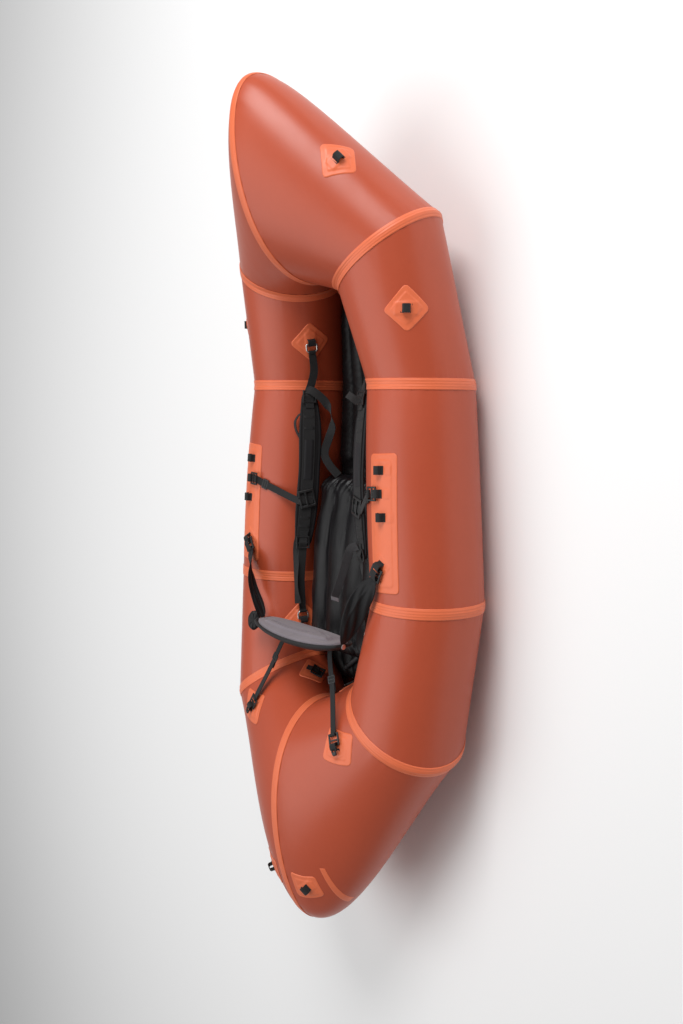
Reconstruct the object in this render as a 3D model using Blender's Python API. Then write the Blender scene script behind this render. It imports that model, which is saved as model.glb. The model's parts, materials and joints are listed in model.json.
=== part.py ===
"""Packraft with floor mat, seat, backband and thigh straps, built panel by panel.

Metres, +Z up, +X starboard, +Y to the bow. The origin is under the middle of the hull, on the
ground that it lies on. Each side of the hull is five fabric tubes between joint rings, closed
to the other side at the bow and stern. Small pieces sit on the skin by panel, share and angle:
the share runs along the panel, and the angle round the tube, 0 outboard, 90 on top, 180 inboard.
"""
from math import cos, hypot, pi, radians, sin

import bmesh
import bpy
import numpy as np

# Counts and directions
SIDES = 24
LINE_STEPS = 48
NUDGE_SHARE = 0.02
PROBE_SHARE = 0.1
SPLINE_SHARES = ((0.0, 1.0, 0.0, 0.0), (-0.5, 0.0, 0.5, 0.0), (1.0, -2.5, 2.0, -0.5),
                 (-0.5, 1.5, -1.5, 0.5))
STARBOARD, PORT = 1, -1
X_AXIS = np.array([1.0, 0.0, 0.0])
Z_AXIS = np.array([0.0, 0.0, 1.0])

# Fabric, tape and clearances
GAP = 0.0003
EDGE_GAP = 0.0004
HULL_FABRIC = 0.0010
FLOOR_FABRIC = 0.0015
TAPE_THICK = 0.0010
TAPE_HALF = 0.0150
TAPE_LIFT = EDGE_GAP
LAP_LIFT = TAPE_LIFT + TAPE_THICK + EDGE_GAP
UNDER = LAP_LIFT + FLOOR_FABRIC

# Main sizes of the hull: between the middles of its end seams, half the spread of its tubes'
# middle lines, and the radius of its tubes
HULL_LENGTH = 2.360
HULL_SPREAD = 0.337
TUBE_RADIUS = 0.151

# Side tube rings from bow to stern: places across, along and up, and radii, as shares of the main
# sizes, with each ring's turn and lean in degrees
RING_SPREAD_SHARES = (0.68843, 0.85757, 0.92582, 1.0, 0.89318)
RING_LENGTH_SHARES = (0.30508, 0.16017, 0.03771, -0.08517, -0.22331)
RING_HEIGHT_SHARES = (1.41722, 0.96026, 1.0, 1.0, 1.23841)
RING_RADIUS_SHARES = (1.00662, 0.94702, 1.0, 0.99669, 1.02318)
RING_TURNS = (29.4, 0.0, 0.0, 0.0, -32.5)
RING_LEANS = (-17.8, 0.0, 0.0, 0.0, -4.2)
BOW_JOINT, FORE_JOINT, MID_STATION, AFT_JOINT, STERN_JOINT = range(5)
MITRE_SHARE = 0.9

# The two centre rings, bow and stern: place, height, half length and half depth as shares of the
# main sizes, tilt in degrees, and how much each tapers and how far its tubes are drawn out
END_LENGTH_SHARES = (0.39068, -0.36017)
END_HEIGHT_SHARES = (2.40397, 1.7351)
END_HALF_SHARES = (0.12034, 0.13983)
END_DEPTH_SHARES = (1.13907, 1.06623)
END_TILTS = (29.0, 3.6)
END_TAPER_SHARES = (0.20, 0.233)
END_PULL_SHARES = (0.1025, 0.232)
START_PULL_SHARE = 0.33
BOW_END, STERN_END = range(2)

# Rows along a panel, as shares of its length between the two tapes
STRAIGHT_SHARES = (0.0, 1.0)
MID_SHARES = (0.0, 0.5, 1.0)
END_SHARES = (0.0, 0.2, 0.4, 0.6, 0.8, 1.0)

# Patches
PATCH_LIFT = 0.0010
PATCH_THICK = 0.0015
PATCH_CORNER = 0.012
CORNER_SHARES = (0.0, 0.3, 1.0)
PATCH_COLUMN_SHARES = (-1.0, -0.5, 0.0, 0.5, 1.0)
PATCH_CELL = 0.024
SIDE_PATCH_CELL = 0.048
LOOP_ROOT_SHARE = 0.3
SMALL_PATCH = 0.086
SIDE_PATCH_LENGTH = 0.360
SIDE_PATCH_WIDTH = 0.098
STERN_PATCH_LENGTH = 0.090
STERN_PATCH_WIDTH = 0.100
TIP_PATCH_LENGTH = 0.078
TIP_PATCH_WIDTH = 0.096

# Where each patch lies: its panel, its share of the panel's length, and its angle and heading
PATCH_PANELS = {"bow_patch": "bow", "fore_patch": "fore", "thigh_front_patch": "fore",
                "side_patch": "mid", "thigh_rear_patch": "aft", "stern_strap_patch": "stern",
                "stern_tip_patch": "stern"}
PATCH_SHARES = {"bow_patch": 0.410, "fore_patch": 0.489, "thigh_front_patch": 0.496,
                "side_patch": 0.384, "thigh_rear_patch": 0.458, "stern_strap_patch": 0.218,
                "stern_tip_patch": 0.852}
PATCH_TURNS = {"bow_patch": (19.3, -44.0), "fore_patch": (40.5, -53.5),
               "thigh_front_patch": (163.4, -43.7), "side_patch": (84.9, -1.3),
               "thigh_rear_patch": (163.5, -49.7), "stern_strap_patch": (97.7, -39.6),
               "stern_tip_patch": (46.0, -62.1)}
PATCH_SIZES = {"bow_patch": (SMALL_PATCH, SMALL_PATCH), "fore_patch": (SMALL_PATCH, SMALL_PATCH),
               "thigh_front_patch": (SMALL_PATCH, SMALL_PATCH),
               "side_patch": (SIDE_PATCH_LENGTH, SIDE_PATCH_WIDTH),
               "thigh_rear_patch": (SMALL_PATCH, SMALL_PATCH),
               "stern_strap_patch": (STERN_PATCH_LENGTH, STERN_PATCH_WIDTH),
               "stern_tip_patch": (TIP_PATCH_LENGTH, TIP_PATCH_WIDTH)}

# Loops on the patches: shares of the patch's length and width from its middle, and their turns
MIDDLE_SHARES = ((0.0, 0.0),)
LOOP_SHARES = {"bow_patch": MIDDLE_SHARES, "fore_patch": MIDDLE_SHARES,
               "thigh_front_patch": MIDDLE_SHARES,
               "side_patch": ((0.38, 0.0714), (0.2125, 0.1224), (0.0458, 0.0), (-0.3075, 0.0918)),
               "thigh_rear_patch": MIDDLE_SHARES, "stern_strap_patch": MIDDLE_SHARES,
               "stern_tip_patch": MIDDLE_SHARES}
LOOP_TURNS = {"bow_patch": (-51.0,), "fore_patch": (-48.0,), "thigh_front_patch": (-133.8,),
              "side_patch": (90.0, 90.0, 90.0, 150.0), "thigh_rear_patch": (38.7,),
              "stern_strap_patch": (152.0,), "stern_tip_patch": (-119.0,)}
SIDE_STRAP_LOOP, WING_LOOP = 1, 3

# Webbing loops on the patches
LOOP_WIDTH = 0.024
LOOP_THICK = 0.0030
LOOP_INSIDE = 0.0135
LOOP_HEIGHT = 0.0135
LOOP_TOE = 0.0040
LOOP_ROUND = 0.0030
LOOP_BAR_HEIGHT = 0.0072

# Steel rings of the thigh straps
WIRE_RADIUS = 0.0025
RING_INSIDE = 0.0260
RING_REACH = 0.0240
RING_CORNER = 0.0036
RING_PLAY = 0.0009
WIRE_SIDES = 6
CORNER_STEPS = 2

# Webbing, eyes and ladder locks
WEB_WIDTH = 0.024
WEB_THICK = 0.0024
EYE_WIDTH = 0.0215
EYE_STEPS = 10
LOCK_WIDTH = 0.038
LOCK_RAIL = 0.0050
LOCK_BAR = 0.0040
LOCK_FIRST_SLOT = 0.0095
LOCK_SECOND_SLOT = 0.0130

# Thigh straps
PAD_WIDTH = 0.058
PAD_THICK = 0.0080
PAD_END_SHARE = 0.55
PAD_LEANS = {STARBOARD: 9.0, PORT: 65.0}
WEB_OVERLAP = 0.030
WEB_TWIST_HOLD = 2.5

# Middle line of each padded strap, bow end first, as shares of the hull's spread, length and radius
PAD_LINE_SHARES = {
    STARBOARD: ((0.42433, 0.14915, 1.4702), (0.43917, 0.10636, 1.58278),
                (0.44510, 0.05572, 1.62914), (0.45994, 0.00487, 1.61589),
                (0.45104, -0.04153, 1.50993)),
    PORT: ((0.42433, 0.15085, 1.4106), (0.39466, 0.10593, 1.42384),
                (0.39466, 0.05508, 1.44371), (0.42136, 0.00424, 1.4702),
                (0.46588, -0.04237, 1.49007)),
}
PAD_SECTION_SHARES = ((-1.0, 0.0), (-0.86, -0.9), (0.0, -1.0), (0.86, -0.9),
                      (1.0, 0.0), (0.86, 0.9), (0.0, 1.0), (-0.86, 0.9))

# Side straps of the thigh straps: where they hold the pad, and how they lie over the tube
SIDE_HOLD_SHARE = 0.25
SIDE_LOCK_SHARE = 0.3
SIDE_LOCK_LIFT = 0.0014
SIDE_EDGE_LIFTS = {STARBOARD: 0.0120, PORT: 0.0020}
DRAPE_TURNS = (22.0, 34.0)
DRAPE_LIFT = 0.0050
DRAPE_BACK = 0.012

# Backband
BAND_LENGTH_SHARE = -0.13898
BAND_LEVEL_SHARE = 2.12583
BAND_CENTRE_Y = HULL_LENGTH * BAND_LENGTH_SHARE
BAND_CENTRE_Z = TUBE_RADIUS * BAND_LEVEL_SHARE
BAND_HALF = 0.205
BAND_HEIGHT = 0.148
BAND_END_HEIGHT = 0.034
BAND_PAD_INSET = 0.006
BAND_SAG = 0.014
BAND_RISE = 0.014
BAND_POWER = 1.9
BAND_PAD_EDGE = 0.006
BAND_PAD_CROWN = 0.011
BAND_SHELL_EDGE = 0.004
BAND_SHELL_CROWN = 0.017
BAND_COLUMN_SHARES = (-1.0, -0.93, -0.8, -0.6, -0.4, -0.2, 0.0, 0.2, 0.4, 0.6, 0.8, 0.93, 1.0)
BAND_ROW_SHARES = (-1.0, -0.75, 0.0, 0.75, 1.0)
PIN_RADIUS = 0.0040
PIN_HEAD_RADIUS = 0.0075
PIN_HEAD_THICK = 0.0020
PIN_ROOT = 0.005
WING_THICK = 0.0030
WING_EYE_RADIUS = 0.0130
WING_WIDTH = 0.056
WING_RISE = 0.012
WING_REACH_SHARES = (0.13, 0.34, 0.60, 0.86)
WING_RISE_SHARES = (0.5, 1.0, 0.83, 0.25)
WING_WIDTH_SHARES = (0.464, 0.928, 1.0, 0.607)
WING_LEANS = (15.0, 38.0, 58.0, 80.0)
REAR_STRAP_X = 0.115
REAR_STRAP_DROP = 0.008

# Floor mat and seat
MAT_THICK = 0.052
MAT_STERN_RISE = 0.026
MAT_CLEAR = 0.0040
MAT_CHAMBERS = 6
MAT_CHANNEL = 0.0080
MAT_TIP_HALF = 0.040
MAT_SHARES = (0.0, 0.025, 0.08, 0.19, 0.33, 0.47, 0.61, 0.75, 0.86, 0.94, 0.98, 1.0)
MAT_FULL_SHARES = (0.5, 0.82, 1.0, 1.0, 1.0, 1.0, 1.0, 1.0, 1.0, 1.0, 0.82, 0.5)
CHAMBER_SHARES = ((0.0, 0.0), (0.2, 0.75), (0.5, 1.0), (0.8, 0.75))
WALL_ANGLES = (180.0, 240.0)
WALL_STEPS = 10
MAT_TUBE_LENGTH = 0.074
MAT_TUBE_RADIUS = 0.0065
MAT_TUBE_LIFT = 0.0070
MAT_BASE_RADIUS = 0.012
MAT_BASE_THICK = 0.0090
MAT_TUBE_FROM_END = 0.085
MAT_TUBE_TURN = 216.0
SEAT_FRONT_SHARE = 0.04746
SEAT_FRONT = HULL_LENGTH * SEAT_FRONT_SHARE
SEAT_LENGTH = 0.517
SEAT_HALF = 0.156
SEAT_THICK = 0.104
SEAT_CHANNEL = 0.010
SEAT_CHAMBERS = 4
SEAT_CROWN = 0.010
SEAT_DRAW = 0.004
SEAT_BULGE = 0.003
SEAT_SHARES = (0.0, 0.03, 0.09, 0.2, 0.35, 0.5, 0.65, 0.8, 0.91, 0.97, 1.0)
SEAT_FULL_SHARES = (0.42, 0.74, 0.95, 1.0, 1.0, 1.0, 1.0, 1.0, 0.95, 0.74, 0.42)
SEAT_SHOULDER_SHARE = 0.72
SEAT_WIDE_SHARES = (0.90, 0.955, 0.99, 1.0, 1.0, 1.0, 1.0, 1.0, 0.99, 0.955, 0.90)

# Main valve, let into the starboard stern panel where it faces the cockpit
VALVE_SHARE = 0.50
VALVE_ANGLE = 195.0
VALVE_FLANGE = 0.032
VALVE_FLANGE_THICK = 0.0040
VALVE_BARREL = 0.0210
VALVE_DEPTH = 0.014
VALVE_BORE = 0.0130
VALVE_NECK = 0.0180
VALVE_NECK_HEIGHT = 0.013
VALVE_HOLE_CLEAR = 0.0006
VALVE_STEPS = 16
PLUNGER_CLEAR = 0.0004
PLUNGER_THICK = 0.0040
PLUNGER_STEM = 0.0035
PLUNGER_BUTTON = 0.0065
PLUNGER_HEIGHT = 0.0110
CAP_CLEAR = 0.0004
CAP_WALL = 0.0030
CAP_TOP = 0.0030
CAP_GRIP_HEIGHT = 0.008
CAP_GRIP_THICK = 0.005
CAP_GRIP_SHARE = 0.8

# Colours
TERRACOTTA = (0.46, 0.105, 0.045, 1.0)
BRIGHT_ORANGE = (0.72, 0.16, 0.06, 1.0)
BLACK_NYLON = (0.014, 0.014, 0.015, 1.0)
SEAT_BLACK = (0.020, 0.020, 0.022, 1.0)
FOAM_GREY = (0.165, 0.145, 0.160, 1.0)
BUCKLE_BLACK = (0.022, 0.022, 0.024, 1.0)
STEEL = (0.60, 0.60, 0.60, 1.0)
VALVE_GREY = (0.060, 0.060, 0.062, 1.0)


def unit(vector):
    """The vector at length one."""
    return vector / np.linalg.norm(vector)


def clear_scene():
    """Removes whatever the scene holds."""
    for old in list(bpy.data.objects):
        bpy.data.objects.remove(old, do_unlink=True)


def solid(name, points, faces, colour, side=STARBOARD, roughness=0.7, metallic=0.0, sharp=40.0):
    """Makes one closed object. A port piece is the starboard one mirrored in the centre plane."""
    places = [(side * p[0], p[1], p[2]) for p in points]
    mesh = bpy.data.meshes.new(name)
    mesh.from_pydata(places, [], [list(face) for face in faces])
    work = bmesh.new()
    work.from_mesh(mesh)
    bmesh.ops.recalc_face_normals(work, faces=work.faces)
    work.to_mesh(mesh)
    work.free()
    mesh.shade_smooth()
    mesh.set_sharp_from_angle(angle=radians(sharp))
    material = bpy.data.materials.new(name)
    material.use_nodes = True
    shader = material.node_tree.nodes["Principled BSDF"]
    shader.inputs["Base Color"].default_value = colour
    shader.inputs["Roughness"].default_value = roughness
    shader.inputs["Metallic"].default_value = metallic
    material.diffuse_color = colour
    mesh.materials.append(material)
    piece = bpy.data.objects.new(name, mesh)
    bpy.context.scene.collection.objects.link(piece)
    return piece


def combine(piece, other, operation="UNION"):
    """Joins a hidden helper to the piece, or cuts it away."""
    other.hide_render = True
    other.display_type = "WIRE"
    boolean = piece.modifiers.new(other.name, "BOOLEAN")
    boolean.operation = operation
    boolean.solver = "EXACT"
    boolean.object = other


def halves(points, quad):
    """Two triangles of a quad, cut along its shorter diagonal."""
    i, j, k, m = quad
    if np.linalg.norm(points[i] - points[k]) <= np.linalg.norm(points[j] - points[m]):
        return [(i, j, k), (i, k, m)]
    return [(i, j, m), (j, k, m)]


def shell(low, high, wrap=False):
    """Points and faces of the sheet between two grids, which closes on itself where wrap is set."""
    rows, columns = low.shape[:2]
    points = np.concatenate([low.reshape(-1, 3), high.reshape(-1, 3)])
    top = rows * columns
    faces = []

    def at_grid(r, c):
        return r * columns + c % columns

    for r in range(rows - 1):
        for c in range(columns if wrap else columns - 1):
            quad = (at_grid(r, c), at_grid(r, c + 1), at_grid(r + 1, c + 1), at_grid(r + 1, c))
            for triangle in halves(points, quad):
                faces.append(tuple(top + k for k in triangle))
                faces.append(triangle[::-1])
    for c in range(columns if wrap else columns - 1):
        for r in (0, rows - 1):
            faces.append((at_grid(r, c), at_grid(r, c + 1), top + at_grid(r, c + 1), top + at_grid(r, c)))
    if not wrap:
        for r in range(rows - 1):
            for c in (0, columns - 1):
                faces.append((at_grid(r, c), at_grid(r + 1, c), top + at_grid(r + 1, c), top + at_grid(r, c)))
    return points, faces


def loft(sections, closed=False):
    """Points and faces through closed sections, capped at both ends or joined end to end."""
    rows, columns = sections.shape[:2]
    faces = []
    for r in range(rows if closed else rows - 1):
        following = (r + 1) % rows
        for c in range(columns):
            after = (c + 1) % columns
            faces.append((r * columns + c, r * columns + after,
                          following * columns + after, following * columns + c))
    if not closed:
        faces.append(tuple(range(columns))[::-1])
        faces.append(tuple(range((rows - 1) * columns, rows * columns)))
    return sections.reshape(-1, 3), faces


def side_ring(ring, angles, grow):
    """One ring of a side tube, with its radius changed by grow."""
    x, y = HULL_SPREAD * RING_SPREAD_SHARES[ring], HULL_LENGTH * RING_LENGTH_SHARES[ring]
    height, radius = TUBE_RADIUS * RING_HEIGHT_SHARES[ring], TUBE_RADIUS * RING_RADIUS_SHARES[ring]
    turn, lean = radians(RING_TURNS[ring]), radians(RING_LEANS[ring])
    outward = np.array([cos(turn), sin(turn), 0.0])
    forward = np.array([-sin(turn), cos(turn), 0.0])
    upward = Z_AXIS * cos(lean) + forward * sin(lean)
    wide = (radius + grow) / cos(MITRE_SHARE * turn)
    centre = np.array([x, y, height + UNDER])
    across = wide * np.cos(angles)[:, None] * outward
    return centre + across + (radius + grow) * np.sin(angles)[:, None] * upward


def centre_ring(end, angles, grow):
    """The ring in the centre plane where both sides meet, at the bow or the stern."""
    y, length = HULL_LENGTH * END_LENGTH_SHARES[end], HULL_LENGTH * END_HALF_SHARES[end]
    height, depth = TUBE_RADIUS * END_HEIGHT_SHARES[end], TUBE_RADIUS * END_DEPTH_SHARES[end]
    way, tilt = np.sign(y), radians(END_TILTS[end])
    along = np.array([0.0, way * cos(tilt), sin(tilt)])
    upward = np.array([0.0, -way * sin(tilt), cos(tilt)])
    centre = np.array([0.0, y, height + UNDER])
    deep = (depth + grow) * (1 - END_TAPER_SHARES[end] * np.cos(angles)) * np.sin(angles)
    return centre + (length + grow) * np.cos(angles)[:, None] * along + deep[:, None] * upward


def end_lines(joint, end_ring, angles, grow):
    """Cubic lines from a side tube's last ring to the centre ring."""
    t = np.linspace(0, 1, LINE_STEPS + 1)[:, None, None]
    start = side_ring(joint, angles, grow)
    end = centre_ring(end_ring, angles, grow)
    chord = np.linalg.norm(end - start, axis=1)[:, None]
    leave = start + START_PULL_SHARE * (end - start)
    arrive = end + END_PULL_SHARES[end_ring] * chord * X_AXIS
    first = (1 - t) ** 3 * start + 3 * (1 - t) ** 2 * t * leave
    return first + 3 * (1 - t) * t * t * arrive + t**3 * end


def panel_lines(panel, angles, grow):
    """Lines along the skin of a panel, one for each angle, before the hull is centred."""
    t = np.linspace(0, 1, LINE_STEPS + 1)[:, None, None]
    if panel == "bow":
        return end_lines(BOW_JOINT, BOW_END, angles, grow)
    if panel == "stern":
        return end_lines(STERN_JOINT, STERN_END, angles, grow)
    if panel == "mid":
        rings = [side_ring(ring, angles, grow) for ring in (AFT_JOINT, MID_STATION, FORE_JOINT)]
        first = rings[0] * (1 - t) * (1 - 2 * t) + rings[1] * 4 * t * (1 - t)
        return first + rings[2] * t * (2 * t - 1)
    ends = {"fore": (FORE_JOINT, BOW_JOINT), "aft": (STERN_JOINT, AFT_JOINT)}[panel]
    return (1 - t) * side_ring(ends[0], angles, grow) + t * side_ring(ends[1], angles, grow)


def hull_shift():
    """How far the hull moves along Y so that the outer faces of its two tips are centred."""
    angles = 2 * pi * np.arange(SIDES) / SIDES
    grow = TAPE_LIFT + TAPE_THICK
    front = centre_ring(BOW_END, angles, grow)[:, 1].max()
    rear = centre_ring(STERN_END, angles, grow)[:, 1].min()
    return np.array([0.0, -(front + rear) / 2, 0.0])


SHIFT = hull_shift()


def line_lengths(lines):
    """Length along each line, from its start to each of its points."""
    steps = np.linalg.norm(np.diff(lines, axis=0), axis=2)
    return np.concatenate([np.zeros((1, lines.shape[1])), np.cumsum(steps, axis=0)])


def walk(lines, distances):
    """Points at the given distances along the lines."""
    lengths = line_lengths(lines)
    out = np.empty(distances.shape + (3,))
    for c in range(lines.shape[1]):
        for k in range(3):
            out[:, c, k] = np.interp(distances[:, c], lengths[:, c], lines[:, c, k])
    return out + SHIFT


def panel_rows(panel, angles, grow, shares, ends=()):
    """Rows of points on a panel's skin: at the shares between its tapes, and at the ends asked for.

    An end is a distance from the panel's first or last ring, the last counted as negative."""
    lines = panel_lines(panel, angles, grow)
    whole = line_lengths(lines)[-1]
    rows = [TAPE_HALF + (whole - 2 * TAPE_HALF) * share for share in shares]
    rows = [whole * 0 + end for end in ends if end >= 0] + rows
    rows = rows + [whole + end for end in ends if end < 0]
    return walk(lines, np.array(rows))


def skin(panel, share, angle, heading, a, b, lift):
    """Points on the skin, a along the heading and b across it from a place on the panel."""
    middle, step = radians(angle), radians(1)

    def points(shares, angles):
        lines = panel_lines(panel, angles, lift)
        return walk(lines, (shares * line_lengths(lines)[-1])[None])[0]

    home, further, round_tube = points(np.array([share, share + NUDGE_SHARE, share]),
                                       np.array([middle, middle, middle + step]))
    length = np.linalg.norm(further - home) / NUDGE_SHARE
    ahead = unit(further - home)
    around = (round_tube - home) / step
    skew = around @ ahead
    girth = np.linalg.norm(around - ahead * skew)
    a, b = np.broadcast_arrays(np.asarray(a, float), np.asarray(b, float))
    turn = radians(heading)
    angles = (a * sin(turn) + b * cos(turn)).ravel() / girth
    shares = share + ((a * cos(turn) - b * sin(turn)).ravel() - skew * angles) / length
    return points(shares, middle + angles).reshape(a.shape + (3,))


def place_on(panel, share, angle, heading, along=0.0, aside=0.0):
    """A place on the skin: its origin, its heading, the way across, and the way out."""
    reach = TAPE_HALF * PROBE_SHARE
    spots = skin(panel, share, angle, heading, [along, along + reach, along],
                 [aside, aside, aside + reach], 0)
    ahead, across = unit(spots[1] - spots[0]), spots[2] - spots[0]
    across = unit(across - ahead * (across @ ahead))
    out = np.cross(ahead, across)
    inner = skin(panel, share, angle, heading, [along], [aside], -TAPE_HALF)[0]
    return spots[0], ahead, across, out * np.sign(out @ (spots[0] - inner))


def at(place, ahead, across, out):
    """A point given in a place's own directions."""
    return place[0] + ahead * place[1] + across * place[2] + out * place[3]


# Hull

TUBE_ANGLES = 2 * pi * np.arange(SIDES) / SIDES
PANEL_SHARES = {"bow": END_SHARES, "fore": STRAIGHT_SHARES, "mid": MID_SHARES,
                "aft": STRAIGHT_SHARES, "stern": END_SHARES}
PANEL_NAMES = {"bow": "bow_panel", "fore": "fore_tube", "mid": "mid_tube",
               "aft": "aft_tube", "stern": "stern_panel"}


def make_panel(panel, side):
    """One fabric tube of the hull, open at both rings, where its neighbours butt against it."""
    ends = (GAP / 2, -GAP / 2)
    rows = [panel_rows(panel, TUBE_ANGLES, grow, PANEL_SHARES[panel], ends)
            for grow in (-HULL_FABRIC, 0)]
    return solid(f"{PANEL_NAMES[panel]}_{side_name(side)}", *shell(*rows, wrap=True),
                 TERRACOTTA, side)


def side_name(side):
    return "starboard" if side == STARBOARD else "port"


def joint_tape_rows(before, after, grow):
    """Three rows of tape over a joint, between the end of one panel and the start of another."""
    first_end, second_end = before[1], after[1]
    rows = [panel_rows(before[0], TUBE_ANGLES, grow, (), (first_end * TAPE_HALF,))[0],
            panel_rows(before[0], TUBE_ANGLES, grow, (), (first_end * 0.0,))[0]
            if first_end > 0 else panel_rows(after[0], TUBE_ANGLES, grow, (), (0.0,))[0],
            panel_rows(after[0], TUBE_ANGLES, grow, (), (second_end * TAPE_HALF,))[0]]
    return np.array(rows)


def make_joint_tape(name, before, after, side):
    """The heat-bonded tape that covers one joint ring."""
    grids = [joint_tape_rows(before, after, grow) for grow in (TAPE_LIFT, TAPE_LIFT + TAPE_THICK)]
    return solid(f"{name}_{side_name(side)}", *shell(*grids, wrap=True), BRIGHT_ORANGE, side)


def make_centre_tape(name, panel, end):
    """The tape over the centre seam, from one side to the other."""
    grids = []
    for grow in (TAPE_LIFT, TAPE_LIFT + TAPE_THICK):
        edge = panel_rows(panel, TUBE_ANGLES, grow, (), (-TAPE_HALF,))[0]
        middle = centre_ring(end, TUBE_ANGLES, grow) + SHIFT
        grids.append(np.array([edge, middle, edge * (-1, 1, 1)]))
    return solid(name, *shell(*grids, wrap=True), BRIGHT_ORANGE)


def floor_rows(grow):
    """Starboard rows of the floor sheet under the tubes, bow to stern: 270, 255 and 240 degrees."""
    bottom = SIDES * 3 // 4
    angles = TUBE_ANGLES[[bottom, bottom - 1, bottom - 2]]
    joint = {name: side_ring(ring, angles, grow)[None] + SHIFT
             for name, ring in (("bow", BOW_JOINT), ("fore", FORE_JOINT),
                                ("aft", AFT_JOINT), ("stern", STERN_JOINT))}
    straight = {panel: panel_rows(panel, angles, grow, PANEL_SHARES[panel])[::-1]
                for panel in ("fore", "mid", "aft")}
    parts = [panel_rows("bow", angles, grow, END_SHARES)[::-1], joint["bow"],
             straight["fore"], joint["fore"], straight["mid"], joint["aft"],
             straight["aft"], joint["stern"], panel_rows("stern", angles, grow, END_SHARES)]
    return np.concatenate(parts)


def make_floor():
    """The floor sheet, lapped under both side tubes and pulled straight between them."""
    grids = []
    for grow in (LAP_LIFT + FLOOR_FABRIC, LAP_LIFT):
        half = floor_rows(grow)
        grids.append(np.concatenate([half, half[:, ::-1] * (-1, 1, 1)], axis=1))
    return solid("hull_floor", *shell(*grids), TERRACOTTA)


# Patches and webbing loops

def patch_grid(panel, share, angle, heading, length, width, lift):
    """A rectangle with round corners, laid on the skin."""
    ends = [PATCH_CORNER * s for s in CORNER_SHARES]
    straight = length / 2 - PATCH_CORNER
    cell = SIDE_PATCH_CELL if panel == "mid" else PATCH_CELL
    count = max(2, round(2 * straight / cell))
    rows = [(-length / 2 + d, d) for d in ends]
    rows += [(straight * (2 * k / count - 1), PATCH_CORNER) for k in range(1, count)]
    rows += [(length / 2 - d, d) for d in ends[::-1]]
    a, b = [], []
    for place, d in rows:
        round_off = PATCH_CORNER - (PATCH_CORNER**2 - (PATCH_CORNER - d) ** 2) ** 0.5
        half = width / 2 - round_off
        a.append([place] * len(PATCH_COLUMN_SHARES))
        b.append([half * s for s in PATCH_COLUMN_SHARES])
    return skin(panel, share, angle, heading, np.array(a), np.array(b), lift)


def loop_shape(place):
    """A webbing loop that stands on a patch: its tunnel runs across the place's heading."""
    low = PATCH_LIFT + PATCH_THICK * LOOP_ROOT_SHARE
    base = PATCH_LIFT + PATCH_THICK
    inside, top = LOOP_INSIDE / 2, base + LOOP_HEIGHT
    outside, crest = inside + LOOP_THICK, top + LOOP_THICK
    half = [(outside + LOOP_TOE, low), (outside + LOOP_TOE, base + LOOP_THICK / 2),
            (outside, base + LOOP_THICK), (outside, crest - LOOP_ROUND),
            (outside - LOOP_ROUND, crest)]
    hollow = [(inside, low), (inside, top)]
    outline = half + [(-h, n) for h, n in half[::-1]]
    outline = outline + [(-h, n) for h, n in hollow] + hollow[::-1]
    sections = [[at(place, h, b, n) for h, n in outline] for b in (-LOOP_WIDTH / 2, LOOP_WIDTH / 2)]
    return loft(np.array(sections))


def loop_place(patch, number):
    """Where a patch's loop stands: the loop's heading is its patch's, turned."""
    panel, share, (angle, heading) = PATCH_PANELS[patch], PATCH_SHARES[patch], PATCH_TURNS[patch]
    along, aside = [size * place for size, place in zip(PATCH_SIZES[patch], LOOP_SHARES[patch][number])]
    turn = LOOP_TURNS[patch][number]
    spot, ahead, across, out = place_on(panel, share, angle, heading)
    if along or aside:
        spot, _, _, out = place_on(panel, share, angle, heading, along, aside)
    turn = radians(turn)
    heading_way = ahead * cos(turn) + across * sin(turn)
    across = across * cos(turn) - ahead * sin(turn)
    ahead = unit(heading_way - out * (heading_way @ out))
    across = across - out * (across @ out)
    return spot, ahead, unit(across - ahead * (across @ ahead)), out


def make_patch(name, side):
    """A fabric patch on the hull with its sewn webbing loops."""
    grids = [patch_grid(PATCH_PANELS[name], PATCH_SHARES[name], *PATCH_TURNS[name],
                        *PATCH_SIZES[name], lift) for lift in (PATCH_LIFT, PATCH_LIFT + PATCH_THICK)]
    full_name = f"{name}_{side_name(side)}"
    patch = solid(full_name, *shell(*grids), BRIGHT_ORANGE, side)
    for number in range(len(LOOP_TURNS[name])):
        loop = solid(f"{full_name}_loop_{number}", *loop_shape(loop_place(name, number)),
                     BLACK_NYLON, side)
        combine(patch, loop)
    return patch


# Webbing

def route(points, widths, ways, spans):
    """A smooth path through the points, with its width and its way across at each step."""
    table = np.array([list(p) + [w] + list(v) for p, w, v in zip(points, widths, ways)], float)
    padded = np.concatenate([[2 * table[0] - table[1]], table, [2 * table[-1] - table[-2]]])
    rows = []
    for k in range(1, len(padded) - 2):
        for t in np.arange(spans) / spans:
            powers = np.array([1, t, t**2, t**3])
            rows.append(powers @ np.array(SPLINE_SHARES) @ padded[k - 1:k + 3])
    rows.append(table[-1])
    rows = np.array(rows)
    return rows[:, :3], rows[:, 3], rows[:, 4:]


def ribbon(points, widths, ways, thick):
    """Webbing along a path, flat across the given ways."""
    tangents = np.gradient(points, axis=0)
    sections = []
    for point, width, way, tangent in zip(points, widths, ways, tangents):
        tangent = unit(tangent)
        across = unit(way - tangent * (way @ tangent))
        out = np.cross(tangent, across)
        sections.append([point + across * width / 2 * i + out * thick / 2 * j
                         for i, j in ((-1, -1), (1, -1), (1, 1), (-1, 1))])
    return loft(np.array(sections))


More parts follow.
